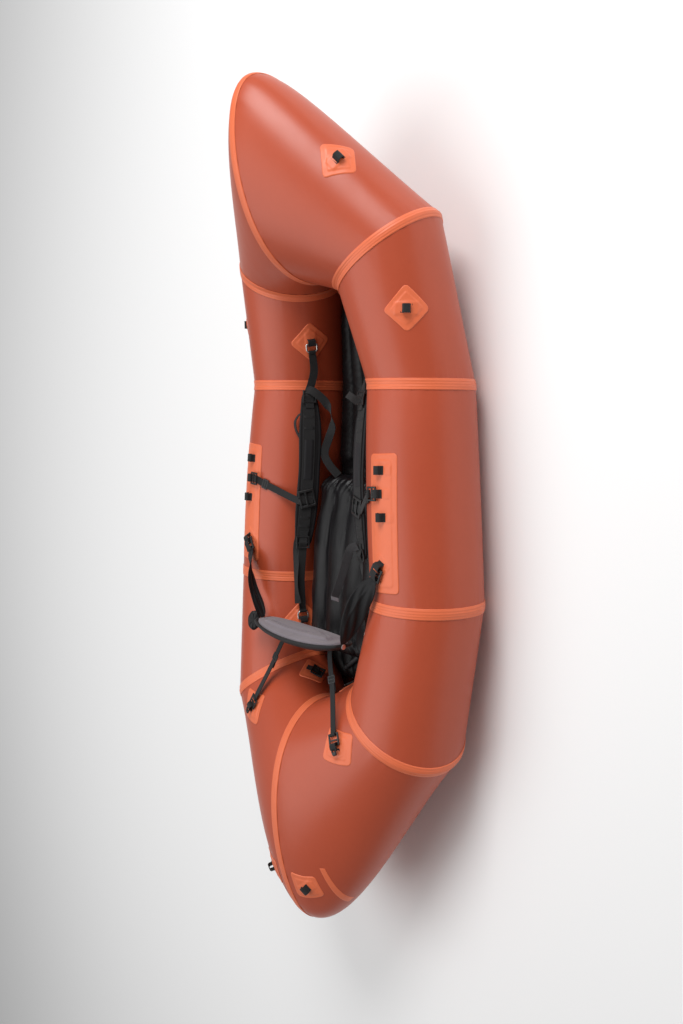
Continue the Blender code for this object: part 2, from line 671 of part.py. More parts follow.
def eye_shape(centre, axis, ahead, inside, outside, half):
    """A round eye about an axis, as one ring of wall."""
    axis = unit(axis)
    ahead = unit(ahead - axis * (ahead @ axis))
    up = np.cross(axis, ahead)
    sections = []
    for step in range(EYE_STEPS):
        angle = 2 * pi * step / EYE_STEPS
        way = ahead * cos(angle) + up * sin(angle)
        sections.append([centre + way * inside - axis * half, centre + way * outside - axis * half,
                         centre + way * outside + axis * half, centre + way * inside + axis * half])
    return loft(np.array(sections), closed=True)


EYE_FIT = 1 / cos(pi / EYE_STEPS)
LOCK_SIZES = (LOCK_BAR, LOCK_FIRST_SLOT, LOCK_BAR, LOCK_SECOND_SLOT, LOCK_BAR)
LOCK_REACH = LOCK_BAR / 2 + LOCK_FIRST_SLOT + LOCK_BAR + LOCK_SECOND_SLOT + LOCK_BAR / 2
LOCK_EYE_INSIDE = (hypot(LOCK_BAR, LOCK_BAR) / 2 + GAP) * EYE_FIT
RING_EYE_INSIDE = (WIRE_RADIUS + 2 * GAP) * EYE_FIT


def lock_shape(bar, across, ahead):
    """A ladder lock: three bars between two rails. Its rear bar is centred on the given point."""
    across = unit(across - ahead * (across @ ahead))
    out = np.cross(ahead, across)
    edges = [-LOCK_BAR / 2]
    for size in LOCK_SIZES:
        edges.append(edges[-1] + size)
    columns = [-LOCK_WIDTH / 2, -LOCK_WIDTH / 2 + LOCK_RAIL, LOCK_WIDTH / 2 - LOCK_RAIL, LOCK_WIDTH / 2]
    wide = len(columns)
    points = []
    for level in (-LOCK_BAR / 2, LOCK_BAR / 2):
        for edge in edges:
            points += [bar + ahead * edge + across * column + out * level for column in columns]
    top = len(edges) * wide
    faces, sides = [], {}
    for r in range(len(edges) - 1):
        for c in range(wide - 1):
            if c == 1 and r in (1, 3):
                continue
            quad = [r * wide + c, r * wide + c + 1, (r + 1) * wide + c + 1, (r + 1) * wide + c]
            faces += [tuple(quad[::-1]), tuple(top + k for k in quad)]
            for i, j in zip(quad, quad[1:] + quad[:1]):
                key = (min(i, j), max(i, j))
                sides[key] = sides.get(key, 0) + 1
    faces += [(i, j, top + j, top + i) for (i, j), uses in sides.items() if uses == 1]
    return np.array(points), faces


def pulled_bar(place, thickness, play=GAP):
    """Where a bar of this thickness rests in a loop, pulled towards the loop's leg ahead."""
    forward = LOOP_INSIDE / 2 - thickness / 2 - play
    return at(place, forward, 0.0, PATCH_LIFT + PATCH_THICK + LOOP_BAR_HEIGHT)


# Backband

def band_grid(half_width, inset, depth):
    """A grid over the backband. The depth, over column and row shares, is measured to the bow."""
    s = np.array(BAND_COLUMN_SHARES)
    end = BAND_END_HEIGHT / 2
    half = end + (BAND_HEIGHT / 2 - end) * (1 - np.abs(s) ** BAND_POWER) ** (1 / BAND_POWER) - inset
    x = half_width * s
    middle = BAND_CENTRE_Z + UNDER + BAND_RISE * (x / BAND_HALF) ** 2
    rows = []
    for h in BAND_ROW_SHARES:
        y = BAND_CENTRE_Y + BAND_SAG * (x / BAND_HALF) ** 2 + depth(s, h)
        rows.append(np.stack([x, y, middle + h * half], axis=1))
    return np.array(rows)


def bulge(s, h):
    """One in the middle and zero at the edges."""
    return (1 - np.abs(s) ** 3) * (1 - np.abs(h) ** 3)


BAND_FACE = -BAND_PAD_EDGE / 2
PIN_Y = BAND_CENTRE_Y + BAND_SAG + BAND_FACE - GAP - BAND_SHELL_EDGE
PIN_Z = BAND_CENTRE_Z + UNDER + BAND_RISE
PIN_OUT = BAND_HALF + GAP + WING_THICK + GAP
PIN_HEAD_OUT = PIN_OUT + PIN_HEAD_THICK


def turned(points, centre, axis, ahead):
    """A turned shape from a profile of radius and height along the axis, closed at both ends."""
    axis = unit(axis)
    ahead = unit(ahead - axis * (ahead @ axis))
    up = np.cross(axis, ahead)
    sections = []
    for radius, height in points:
        sections.append([centre + axis * height
                         + radius * (ahead * cos(2 * pi * k / EYE_STEPS) + up * sin(2 * pi * k / EYE_STEPS))
                         for k in range(EYE_STEPS)])
    return loft(np.array(sections))


def make_backband():
    """The stiff shell with a rivet pin at each end, and the foam pad in front of it."""
    shell_face = band_grid(BAND_HALF, 0.0, lambda s, h: BAND_FACE - GAP + 0 * s)
    shell_back = band_grid(BAND_HALF, 0.0, lambda s, h: BAND_FACE - GAP - 2 * BAND_SHELL_EDGE
                           - BAND_SHELL_CROWN * bulge(s, h))
    band = solid("backband_shell", *shell(shell_back, shell_face), BUCKLE_BLACK, sharp=60.0)
    for side in (STARBOARD, PORT):
        centre = np.array([BAND_HALF, PIN_Y, PIN_Z])
        profile = [(PIN_RADIUS, -PIN_ROOT), (PIN_RADIUS, PIN_OUT - BAND_HALF),
                   (PIN_HEAD_RADIUS, PIN_OUT - BAND_HALF), (PIN_HEAD_RADIUS, PIN_HEAD_OUT - BAND_HALF)]
        pin = solid(f"backband_pin_{side_name(side)}", *turned(profile, centre, X_AXIS, Z_AXIS),
                    STEEL, side)
        combine(band, pin)
    pad_half = BAND_HALF - BAND_PAD_INSET
    pad_back = band_grid(pad_half, BAND_PAD_INSET, lambda s, h: BAND_FACE + 0 * s)
    pad_face = band_grid(pad_half, BAND_PAD_INSET, lambda s, h: -BAND_FACE
                         + BAND_PAD_CROWN * bulge(s, h))
    solid("backband_pad", *shell(pad_back, pad_face), FOAM_GREY, sharp=60.0, roughness=0.9)


def make_ladder_lock(side):
    """The ladder lock that takes up one front strap. Its rear bar turns in a side patch loop."""
    place = loop_place("side_patch", WING_LOOP)
    bar = pulled_bar(place, hypot(LOCK_BAR, LOCK_BAR))
    return solid(f"backband_ladder_lock_{side_name(side)}",
                 *lock_shape(bar, place[2], place[1]), BUCKLE_BLACK, side, roughness=0.45)


def make_front_strap(side):
    """The fabric wing from a ladder lock to the backband's pin, with an eye at each end."""
    place = loop_place("side_patch", WING_LOOP)
    bar = pulled_bar(place, hypot(LOCK_BAR, LOCK_BAR))
    front = bar + place[1] * LOCK_REACH
    pin = np.array([BAND_HALF + GAP + WING_THICK / 2, PIN_Y, PIN_Z])
    reach = pin - front
    inside, outside = LOCK_EYE_INSIDE, LOCK_EYE_INSIDE + WEB_THICK
    start = front + unit(place[1] * 2 + unit(reach)) * (inside + outside) / 2
    end = pin - np.array([0.0, unit(reach)[1], 0.0]) * (WING_EYE_RADIUS + PIN_RADIUS) / 2
    flat = unit(place[2]) * -np.sign(place[2][0])
    between = [front + reach * share + Z_AXIS * WING_RISE * rise
               for share, rise in zip(WING_REACH_SHARES, WING_RISE_SHARES)]
    points = [start] + between + [end]
    leans = np.radians(WING_LEANS)
    ways = [flat] + [Z_AXIS * sin(lean) - X_AXIS * cos(lean) for lean in leans] + [Z_AXIS]
    widths = [WEB_WIDTH] + [WING_WIDTH * share for share in WING_WIDTH_SHARES] + [2 * PIN_HEAD_RADIUS]
    strap = solid(f"backband_front_strap_{side_name(side)}",
                  *ribbon(*route(points, widths, ways, 2), WEB_THICK), BLACK_NYLON, side)
    eye = eye_shape(front, place[2], place[1], inside, outside, WEB_WIDTH / 2)
    combine(strap, solid(f"front_strap_eye_{side_name(side)}", *eye, BLACK_NYLON, side))
    tab = eye_shape(pin, X_AXIS, Z_AXIS, (PIN_RADIUS + GAP) * EYE_FIT, WING_EYE_RADIUS, WING_THICK / 2)
    combine(strap, solid(f"front_strap_tab_{side_name(side)}", *tab, BLACK_NYLON, side))
    return strap


def make_rear_strap(side):
    """The strap from the backband's shell to its lock in the stern patch's loop."""
    place = loop_place("stern_strap_patch", 0)
    bar = pulled_bar(place, hypot(LOCK_BAR, LOCK_BAR))
    share = (REAR_STRAP_X - WEB_WIDTH) / BAND_HALF
    back = BAND_CENTRE_Y + BAND_SAG * share**2 + BAND_FACE - GAP - 2 * BAND_SHELL_EDGE
    back = back - BAND_SHELL_CROWN * float(bulge(np.array([share]), 0.0)[0])
    top = np.array([REAR_STRAP_X, back - GAP - WEB_THICK, BAND_CENTRE_Z + UNDER - REAR_STRAP_DROP])
    ahead = unit(top - bar)
    ahead = unit(ahead + place[1])
    lock_end = bar + ahead * LOCK_REACH
    middle = (lock_end + top) / 2 - Z_AXIS * WEB_WIDTH / 8
    sewn = top - Z_AXIS * WEB_WIDTH
    points = [lock_end - ahead * LOCK_BAR / 4, middle, top - np.array([0.0, WEB_THICK, 0.0]), sewn]
    ways = [place[2]] * 2 + [X_AXIS * np.sign(place[2][0])] * 2
    strap = solid(f"backband_rear_strap_{side_name(side)}",
                  *ribbon(*route(points, [WEB_WIDTH] * 4, ways, 4), WEB_THICK), BLACK_NYLON, side)
    lock = solid(f"rear_strap_lock_{side_name(side)}", *lock_shape(bar, place[2], ahead),
                 BUCKLE_BLACK, side)
    combine(strap, lock)
    return strap


# Thigh straps

def pad_way(side):
    """The way across a padded strap, which leans by its side's angle."""
    return np.array([cos(radians(PAD_LEANS[side])), 0.0, sin(radians(PAD_LEANS[side]))])


def ring_shape(bar, across, ahead):
    """A steel ring as one bent wire: its straight bar lies in the loop, its body runs ahead."""
    half = RING_INSIDE / 2 + WIRE_RADIUS
    corners = ((-half, 0.0, 1.5 * pi), (-half, RING_REACH, pi), (half, RING_REACH, pi / 2), (half, 0.0, 0.0))
    path = []
    for side, ahead_by, start in corners:
        centre = (side - np.sign(side) * RING_CORNER, ahead_by + (-RING_CORNER if ahead_by else RING_CORNER))
        for k in range(CORNER_STEPS + 1):
            angle = start - pi / 2 * k / CORNER_STEPS
            path.append((centre[0] + RING_CORNER * cos(angle), centre[1] + RING_CORNER * sin(angle)))
    return path_tube(path, bar, across, ahead)


def path_tube(path, origin, across, ahead):
    """Wire along a closed flat path."""
    out = np.cross(across, ahead)
    flat = np.array(path)
    before, after = np.roll(flat, 1, axis=0), np.roll(flat, -1, axis=0)
    sections = []
    for place, a, b in zip(flat, before, after):
        way = unit(b - a)
        side = across * way[1] - ahead * way[0]
        middle = origin + across * place[0] + ahead * place[1]
        sections.append([middle + WIRE_RADIUS * (side * cos(2 * pi * k / WIRE_SIDES)
                                                 + out * sin(2 * pi * k / WIRE_SIDES))
                         for k in range(WIRE_SIDES)])
    return loft(np.array(sections), closed=True)


def thigh_line(side):
    """The pad's middle line as points, with the clearance under the hull added."""
    sizes = np.array([HULL_SPREAD, HULL_LENGTH, TUBE_RADIUS])
    return [sizes * shares + Z_AXIS * UNDER for shares in PAD_LINE_SHARES[side]]


def thigh_end(side, front):
    """Ring bar, ring reach and way across at one end of a thigh strap."""
    place = loop_place("thigh_front_patch" if front else "thigh_rear_patch", 0)
    bar = pulled_bar(place, 2 * WIRE_RADIUS, RING_PLAY)
    line = thigh_line(side)
    target = line[0] if front else line[-1]
    ahead = unit(target - bar)
    ahead = unit(ahead - place[2] * (ahead @ place[2]))
    return bar, ahead, place[2]


def make_thigh_ring(side, front):
    bar, ahead, across = thigh_end(side, front)
    name = "front" if front else "rear"
    return solid(f"thigh_{name}_ring_{side_name(side)}", *ring_shape(bar, across, ahead), STEEL,
                 side, roughness=0.3, metallic=1.0)


def make_thigh_webbing(side, front):
    """Webbing from a ring's eye to where it lies on the pad, under a ladder lock."""
    bar, ahead, across = thigh_end(side, front)
    line, wide = thigh_line(side), pad_way(side)
    ends = (line[0], line[1]) if front else (line[-1], line[-2])
    eye = bar + ahead * RING_REACH
    inside, outside = RING_EYE_INSIDE, RING_EYE_INSIDE + WEB_THICK
    way = across * np.sign(across @ wide)
    along = unit(ends[1] - ends[0])
    over = unit(np.cross(wide, along))
    over = over * -np.sign(over[0])
    lift = over * (PAD_THICK / 2 + EDGE_GAP + WEB_THICK)
    middle = (eye + ends[0] + lift) / 2
    middle = middle - across * ((middle - eye) @ across)
    points = [eye + unit(middle - eye) * (outside - WEB_THICK / 4),
              middle, ends[0] + lift, ends[0] + lift + along * WEB_OVERLAP]
    ways = [way, unit(way * WEB_TWIST_HOLD + wide), wide, wide]
    name = "front" if front else "rear"
    widths = [EYE_WIDTH] + [WEB_WIDTH] * 3
    web = solid(f"thigh_{name}_webbing_{side_name(side)}",
                *ribbon(*route(points, widths, ways, 3), WEB_THICK), BLACK_NYLON, side)
    loop = eye_shape(eye, across, ahead, inside, outside, EYE_WIDTH / 2)
    combine(web, solid(f"thigh_{name}_eye_{side_name(side)}", *loop, BLACK_NYLON, side))
    start = ends[0] + lift + over * (WEB_THICK + LOCK_BAR) / 3 - along * LOCK_BAR
    lock = solid(f"thigh_{name}_lock_{side_name(side)}",
                 *lock_shape(start, wide, unit(along - wide * (along @ wide))), BUCKLE_BLACK, side)
    combine(web, lock)
    return web


def make_thigh_pad(side):
    """The padded strap, narrower at its ends."""
    line = thigh_line(side)
    points, widths, ways = route(line, [PAD_WIDTH * PAD_END_SHARE, PAD_WIDTH, PAD_WIDTH, PAD_WIDTH,
                                        PAD_WIDTH * PAD_END_SHARE], [pad_way(side)] * 5, 2)
    tangents = np.gradient(points, axis=0)
    sections = []
    for point, width, way, tangent in zip(points, widths, ways, tangents):
        tangent = unit(tangent)
        across = unit(way - tangent * (way @ tangent))
        out = np.cross(tangent, across)
        half, deep = width / 2, PAD_THICK / 2
        sections.append([point + across * half * i + out * deep * j for i, j in PAD_SECTION_SHARES])
    return solid(f"thigh_pad_{side_name(side)}", *loft(np.array(sections)), BLACK_NYLON, side,
                 sharp=60.0)


def make_side_strap(side):
    """The strap from a side patch loop, over the tube, to its keeper on the pad."""
    place = loop_place("side_patch", SIDE_STRAP_LOOP)
    bar = pulled_bar(place, hypot(LOCK_BAR, LOCK_BAR))
    line, wide = thigh_line(side), pad_way(side)
    hold = line[2] * SIDE_HOLD_SHARE + line[3] * (1 - SIDE_HOLD_SHARE)
    along = unit(line[3] - line[2])
    over = unit(np.cross(wide, along))
    over = over * -np.sign(over[0])
    face = hold + over * (PAD_THICK / 2 + SIDE_LOCK_LIFT + LOCK_BAR / 2)
    ahead = unit(place[1])
    lock_end = bar + ahead * LOCK_REACH
    panel, angle = PATCH_PANELS["side_patch"], PATCH_TURNS["side_patch"][0]
    length = line_lengths(panel_lines(panel, np.array([radians(angle)]), 0))[-1, 0]
    ahead_of_middle = SIDE_PATCH_LENGTH * LOOP_SHARES["side_patch"][SIDE_STRAP_LOOP][0]
    share = PATCH_SHARES["side_patch"] + ahead_of_middle / length
    drape = [skin(panel, share, angle + turn, 0.0, [-DRAPE_BACK * k], [0.0], DRAPE_LIFT)[0]
             for k, turn in enumerate(DRAPE_TURNS, 1)]
    edge = hold + wide * (PAD_WIDTH / 2 + PAD_THICK / 2) + over * SIDE_EDGE_LIFTS[side]
    points = [lock_end - ahead * LOCK_BAR / 4] + drape + [
        edge, face + wide * PAD_WIDTH * SIDE_LOCK_SHARE, face - wide * PAD_WIDTH * SIDE_LOCK_SHARE]
    ways = [place[2] * np.sign(place[2][1])] * 3 + [along * np.sign(along[1])] * 3
    strap = solid(f"thigh_side_strap_{side_name(side)}",
                  *ribbon(*route(points, [WEB_WIDTH] * len(points), ways, 2), WEB_THICK),
                  BLACK_NYLON, side)
    lock = solid(f"side_strap_lock_{side_name(side)}", *lock_shape(bar, place[2], ahead),
                 BUCKLE_BLACK, side)
    combine(strap, lock)
    down = unit(wide - along * (wide @ along)) * -1
    keeper = lock_shape(face + wide * PAD_WIDTH * SIDE_LOCK_SHARE, along, down)
    combine(strap, solid(f"side_strap_keeper_{side_name(side)}", *keeper, BUCKLE_BLACK, side))
    return strap


# Floor mat and seat

def inner_walls():
    """Lines along the inboard side of the tubes, bow to stern, one for each angle."""
    angles = np.radians(np.linspace(*WALL_ANGLES, WALL_STEPS + 1))
    parts = [panel_lines("bow", angles, 0)[::-1], panel_lines("fore", angles, 0)[::-1],
             panel_lines("mid", angles, 0)[::-1], panel_lines("aft", angles, 0)[::-1],
             panel_lines("stern", angles, 0)]
    return np.concatenate(parts) + SHIFT


def wall_x(walls, y, z):
    """How far out the tube's inboard side is at a length and height."""
    xs, zs = [], []
    for c in range(walls.shape[1]):
        line = walls[::-1, c]
        xs.append(np.interp(y, line[:, 1], line[:, 0]))
        zs.append(np.interp(y, line[:, 1], line[:, 2]))
    return float(np.interp(z, zs[::-1], xs[::-1]))


def chambered_top(half, base, rise, count, channel):
    """Points across the top, port to starboard, with channels between the chambers."""
    out = []
    for k in range(count):
        for share, full in CHAMBER_SHARES:
            x = half * (2 * (k + share) / count - 1)
            fall = rise * (x / half) ** 2 + channel * (1 - full)
            out.append((x, base + rise - fall))
    out.append((half, base - channel))
    return out


def mat_levels():
    """Lengths of the mat's rows with the bottom and the full thickness at each."""
    floor = floor_rows(LAP_LIFT)[::-1, 2]
    walls = inner_walls()
    front = walls[::-1, 0]
    reach = [np.interp(MAT_TIP_HALF, line[:, 0], line[:, 1]) for line in
             (walls[: LINE_STEPS, 0], walls[::-1][: LINE_STEPS, 0])]
    ys = reach[0] + (reach[1] - reach[0]) * np.array(MAT_SHARES)
    bottoms = np.interp(ys, floor[:, 1], floor[:, 2]) + GAP
    stern = np.clip(ys / reach[1], 0, 1) ** 2
    return ys, bottoms, MAT_THICK + MAT_STERN_RISE * stern, walls


def make_mat():
    """The inflated floor mat, in lengthwise chambers, with its filling tube at the stern end."""
    ys, bottoms, thicks, walls = mat_levels()
    sections = []
    for y, low, thick, full in zip(ys, bottoms, thicks, MAT_FULL_SHARES):
        top = low + thick * full
        middle = low + thick * full / 2
        foot = wall_x(walls, y, low + thick / 3) - MAT_CLEAR
        waist = wall_x(walls, y, middle) - MAT_CLEAR
        crest = min(wall_x(walls, y, top) - 2 * MAT_CLEAR, waist - MAT_CLEAR / 4)
        section = [(-foot, low), (-waist, middle)]
        section += chambered_top(crest, top, 0.0, MAT_CHAMBERS, MAT_CHANNEL * full)
        section += [(waist, middle), (foot, low)]
        sections.append([(x, y, z) for x, z in section])
    mat = solid("floor_mat", *loft(np.array(sections)), SEAT_BLACK, sharp=70.0)
    y = ys[-1] + MAT_TUBE_FROM_END
    crest = np.interp(y, ys[::-1], (bottoms + thicks)[::-1])
    turn = radians(MAT_TUBE_TURN)
    way = np.array([cos(turn), sin(turn), 0.0])
    base = np.array([0.0, y, crest])
    foot = turned([(MAT_BASE_RADIUS, -2 * MAT_CHANNEL), (MAT_BASE_RADIUS, MAT_BASE_THICK)],
                  base, Z_AXIS, X_AXIS)
    combine(mat, solid("mat_tube_base", *foot, VALVE_GREY))
    tube = turned([(MAT_TUBE_RADIUS, 0.0), (MAT_TUBE_RADIUS, MAT_TUBE_LENGTH)],
                  base + Z_AXIS * (MAT_TUBE_RADIUS + MAT_TUBE_LIFT), way, Z_AXIS)
    combine(mat, solid("mat_tube", *tube, VALVE_GREY))
    return mat


def make_seat():
    """The inflated seat: crowned, with four channels and sides that draw in between its corners."""
    mat_ys, bottoms, thicks, walls = mat_levels()
    sections = []
    for share, full, wide in zip(SEAT_SHARES, SEAT_FULL_SHARES, SEAT_WIDE_SHARES):
        y = SEAT_FRONT - SEAT_LENGTH * share
        low = np.interp(y, mat_ys[::-1], (bottoms + thicks)[::-1]) + GAP
        draw = 4 * share * (1 - share)
        half = min(SEAT_HALF, wall_x(walls, y, low + SEAT_THICK) - MAT_CLEAR)
        half = half * wide - SEAT_DRAW * draw
        tall = SEAT_THICK * full
        base = low + (SEAT_THICK - tall) / 3
        section = [(-half + SEAT_BULGE * 2, base), (-half, base + tall / 3)]
        section += chambered_top(half - SEAT_BULGE * 2, base + tall - SEAT_CROWN, SEAT_CROWN,
                                 SEAT_CHAMBERS, SEAT_CHANNEL * full)
        section.insert(2, (-half + SEAT_BULGE / 2, base + SEAT_SHOULDER_SHARE * tall))
        section += [(half - SEAT_BULGE / 2, base + SEAT_SHOULDER_SHARE * tall), (half, base + tall / 3),
                    (half - SEAT_BULGE * 2, base)]
        sections.append([(x, y, z) for x, z in section])
    return solid("seat_cushion", *loft(np.array(sections)), SEAT_BLACK, sharp=70.0)


# Main valve

def valve_place():
    return place_on("stern", VALVE_SHARE, VALVE_ANGLE, 0.0)


def round_sections(place, profile, steps):
    """Rings of points about a place's way out, from a profile of radius and height."""
    return np.array([[at(place, r * cos(2 * pi * k / steps), r * sin(2 * pi * k / steps), h)
                      for k in range(steps)] for r, h in profile])


def make_valve():
    """The valve body through the hull, its plunger in the bore, and the cap on the neck."""
    place = valve_place()
    hole = solid("valve_hole", *loft(round_sections(place, (
        (VALVE_BARREL + VALVE_HOLE_CLEAR, -VALVE_DEPTH), (VALVE_BARREL + VALVE_HOLE_CLEAR, VALVE_DEPTH)),
        VALVE_STEPS)), TERRACOTTA)
    combine(bpy.data.objects["stern_panel_starboard"], hole, "DIFFERENCE")
    seat = VALVE_FLANGE_THICK + PATCH_LIFT
    angles = 2 * pi * np.arange(VALVE_STEPS) / VALVE_STEPS
    conform = [skin("stern", VALVE_SHARE, VALVE_ANGLE, 0.0, r * np.cos(angles), r * np.sin(angles), lift)
               for r, lift in ((VALVE_FLANGE, PATCH_LIFT), (VALVE_FLANGE, PATCH_LIFT + PATCH_THICK))]
    outer = round_sections(place, ((VALVE_NECK + CAP_WALL * 2, seat), (VALVE_NECK, seat),
                                   (VALVE_NECK, VALVE_NECK_HEIGHT), (VALVE_BORE, VALVE_NECK_HEIGHT),
                                   (VALVE_BORE, -VALVE_DEPTH), (VALVE_BARREL, -VALVE_DEPTH),
                                   (VALVE_BARREL, PATCH_LIFT)), VALVE_STEPS)
    sections = np.concatenate([np.array(conform), outer])
    solid("valve_body", *loft(sections, closed=True), VALVE_GREY)
    bore = VALVE_BORE - PLUNGER_CLEAR
    top = VALVE_NECK_HEIGHT - CAP_CLEAR
    plunger = ((bore, -VALVE_DEPTH / 2 - PLUNGER_THICK), (bore, -VALVE_DEPTH / 2),
               (PLUNGER_STEM, -VALVE_DEPTH / 2), (PLUNGER_STEM, top - PLUNGER_THICK),
               (PLUNGER_BUTTON, top - PLUNGER_THICK), (PLUNGER_BUTTON, top))
    solid("valve_plunger", *loft(round_sections(place, plunger, VALVE_STEPS // 2)), VALVE_GREY)
    inside = VALVE_NECK + CAP_CLEAR
    outside = inside + CAP_WALL
    low, lid = seat + GAP, VALVE_NECK_HEIGHT + CAP_CLEAR
    rings = ((inside, low), (outside, low), (outside, lid + CAP_TOP), (CAP_WALL, lid + CAP_TOP))
    closed = round_sections(place, rings, VALVE_STEPS)
    under = round_sections(place, ((CAP_WALL, lid), (inside, lid)), VALVE_STEPS)
    cap = solid("valve_cap", *capped_cup(closed, under), VALVE_GREY)
    grip = [(-CAP_GRIP_SHARE * outside, -CAP_GRIP_THICK / 2), (CAP_GRIP_SHARE * outside, -CAP_GRIP_THICK / 2),
            (CAP_GRIP_SHARE * outside, CAP_GRIP_THICK / 2), (-CAP_GRIP_SHARE * outside, CAP_GRIP_THICK / 2)]
    levels = (lid + CAP_TOP / 2, lid + CAP_TOP + CAP_GRIP_HEIGHT)
    bar = loft(np.array([[at(place, a, b, h) for a, b in grip] for h in levels]))
    combine(cap, solid("valve_cap_grip", *bar, VALVE_GREY))


def capped_cup(closed, under):
    """A cup from rings up its outer side and rings under its lid, each lid closed by one face."""
    sections = np.concatenate([under, closed])
    rows, columns = sections.shape[:2]
    points = sections.reshape(-1, 3)
    faces = []
    for r in range(rows - 1):
        for c in range(columns):
            after = (c + 1) % columns
            faces.append((r * columns + c, r * columns + after,
                          (r + 1) * columns + after, (r + 1) * columns + c))
    faces.append(tuple(range(columns)))
    faces.append(tuple(range((rows - 1) * columns, rows * columns)))
    return points, faces


def build():
    clear_scene()
    for side in (STARBOARD, PORT):
        for panel in PANEL_NAMES:
            make_panel(panel, side)
        make_joint_tape("bow_joint_tape", ("fore", -1), ("bow", 1), side)
        make_joint_tape("fore_joint_tape", ("mid", -1), ("fore", 1), side)
        make_joint_tape("aft_joint_tape", ("aft", -1), ("mid", 1), side)
        make_joint_tape("stern_joint_tape", ("aft", 1), ("stern", 1), side)
        for patch in PATCH_PANELS:
            make_patch(patch, side)
        make_ladder_lock(side)
        make_front_strap(side)
        make_rear_strap(side)
        make_thigh_pad(side)
        make_side_strap(side)
        for front in (True, False):
            make_thigh_ring(side, front)
            make_thigh_webbing(side, front)
    make_centre_tape("bow_centre_tape", "bow", BOW_END)
    make_centre_tape("stern_centre_tape", "stern", STERN_END)
    make_floor()
    make_backband()
    make_mat()
    make_seat()
    make_valve()


build()
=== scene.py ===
from math import cos, hypot, pi, radians, sin
import json
import bmesh
import bpy
import numpy as np
from mathutils import Matrix, Vector

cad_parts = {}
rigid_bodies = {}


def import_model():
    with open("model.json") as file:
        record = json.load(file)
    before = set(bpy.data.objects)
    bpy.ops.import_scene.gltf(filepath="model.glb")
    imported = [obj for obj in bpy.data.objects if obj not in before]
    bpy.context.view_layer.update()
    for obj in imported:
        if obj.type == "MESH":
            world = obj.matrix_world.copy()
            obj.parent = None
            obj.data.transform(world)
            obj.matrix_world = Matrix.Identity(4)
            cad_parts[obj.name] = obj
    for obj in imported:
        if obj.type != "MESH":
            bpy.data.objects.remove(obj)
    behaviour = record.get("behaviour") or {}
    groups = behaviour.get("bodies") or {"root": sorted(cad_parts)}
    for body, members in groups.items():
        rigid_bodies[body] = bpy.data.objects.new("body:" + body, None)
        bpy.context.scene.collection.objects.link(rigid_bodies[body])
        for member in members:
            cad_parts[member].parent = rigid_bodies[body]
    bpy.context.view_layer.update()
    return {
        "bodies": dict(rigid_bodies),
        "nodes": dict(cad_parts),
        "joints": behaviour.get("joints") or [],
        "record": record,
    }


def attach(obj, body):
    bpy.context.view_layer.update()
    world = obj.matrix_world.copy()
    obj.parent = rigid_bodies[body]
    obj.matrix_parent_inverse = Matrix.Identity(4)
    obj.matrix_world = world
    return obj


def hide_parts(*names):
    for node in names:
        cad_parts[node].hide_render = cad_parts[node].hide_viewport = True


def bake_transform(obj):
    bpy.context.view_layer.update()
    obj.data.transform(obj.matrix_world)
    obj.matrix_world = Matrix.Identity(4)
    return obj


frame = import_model()

# ---------------------------------------------------------------- hull geometry, as in the CAD
SIDES = ("port", "starboard")
SIGN = {"port": -1, "starboard": 1}
X_AXIS, Y_AXIS, Z_AXIS = np.eye(3)
GAP = 0.0003
TAPE_THICK, TAPE_HALF = 0.0010, 0.0150
EDGE_GAP = 0.0004
LAP_LIFT = EDGE_GAP * 2 + TAPE_THICK
FLOOR_FABRIC = 0.0015
UNDER = LAP_LIFT + FLOOR_FABRIC
# Joint rings: x, y, height of the middle, radius, turn and lean in degrees.
BOW_JOINT = (0.232, 0.720, 0.214, 0.152, 29.4, -17.8)
FORE_JOINT = (0.289, 0.378, 0.145, 0.143, 0.0, 0.0)
MID_STATION = (0.312, 0.089, 0.151, 0.151, 0.0, 0.0)
AFT_JOINT = (0.337, -0.201, 0.151, 0.1505, 0.0, 0.0)
STERN_JOINT = (0.301, -0.527, 0.187, 0.1545, -32.5, -4.2)
MITRE = 0.9
# Centre rings: y, height, half length, half depth, tilt in degrees, taper, pull and end.
BOW_RING = (0.922, 0.363, 0.284, 0.172, 29.0, 0.20, 0.1025, 1)
STERN_RING = (-0.850, 0.262, 0.330, 0.161, 3.6, 0.233, 0.232, -1)
PULL = 0.33
STEPS = 160


def unit(v):
    return v / np.linalg.norm(v)


def turns(count):
    """Angles in equal steps right round."""
    return 2 * pi * np.arange(count) / count


def both_ways(half):
    """A profile given up to its middle, and on to the other end."""
    return half + [(-a, h) for a, h in half[-2::-1]]


def side_ring(ring, angles, grow):
    """A joint's ring of points, moved outwards by grow."""
    x, y, height, radius, turn, lean = ring
    turn, lean = radians(turn), radians(lean)
    outward = np.array([cos(turn), sin(turn), 0.0])
    forward = np.array([-sin(turn), cos(turn), 0.0])
    upward = Z_AXIS * cos(lean) + forward * sin(lean)
    wide = (radius + grow) / cos(MITRE * turn)
    return (np.array([x, y, height + UNDER]) + wide * np.cos(angles)[:, None] * outward
            + (radius + grow) * np.sin(angles)[:, None] * upward)


def centre_ring(ring, angles, grow):
    """The ring of points in the centre plane where two end panels meet."""
    y, height, length, depth, tilt, taper, _, end = ring
    tilt = radians(tilt)
    along = np.array([0.0, end * cos(tilt), sin(tilt)])
    upward = np.array([0.0, -end * sin(tilt), cos(tilt)])
    deep = (depth + grow) * (1 - taper * np.cos(angles)) * np.sin(angles)
    return (np.array([0.0, y, height + UNDER]) + (length + grow) * np.cos(angles)[:, None] * along
            + deep[:, None] * upward)


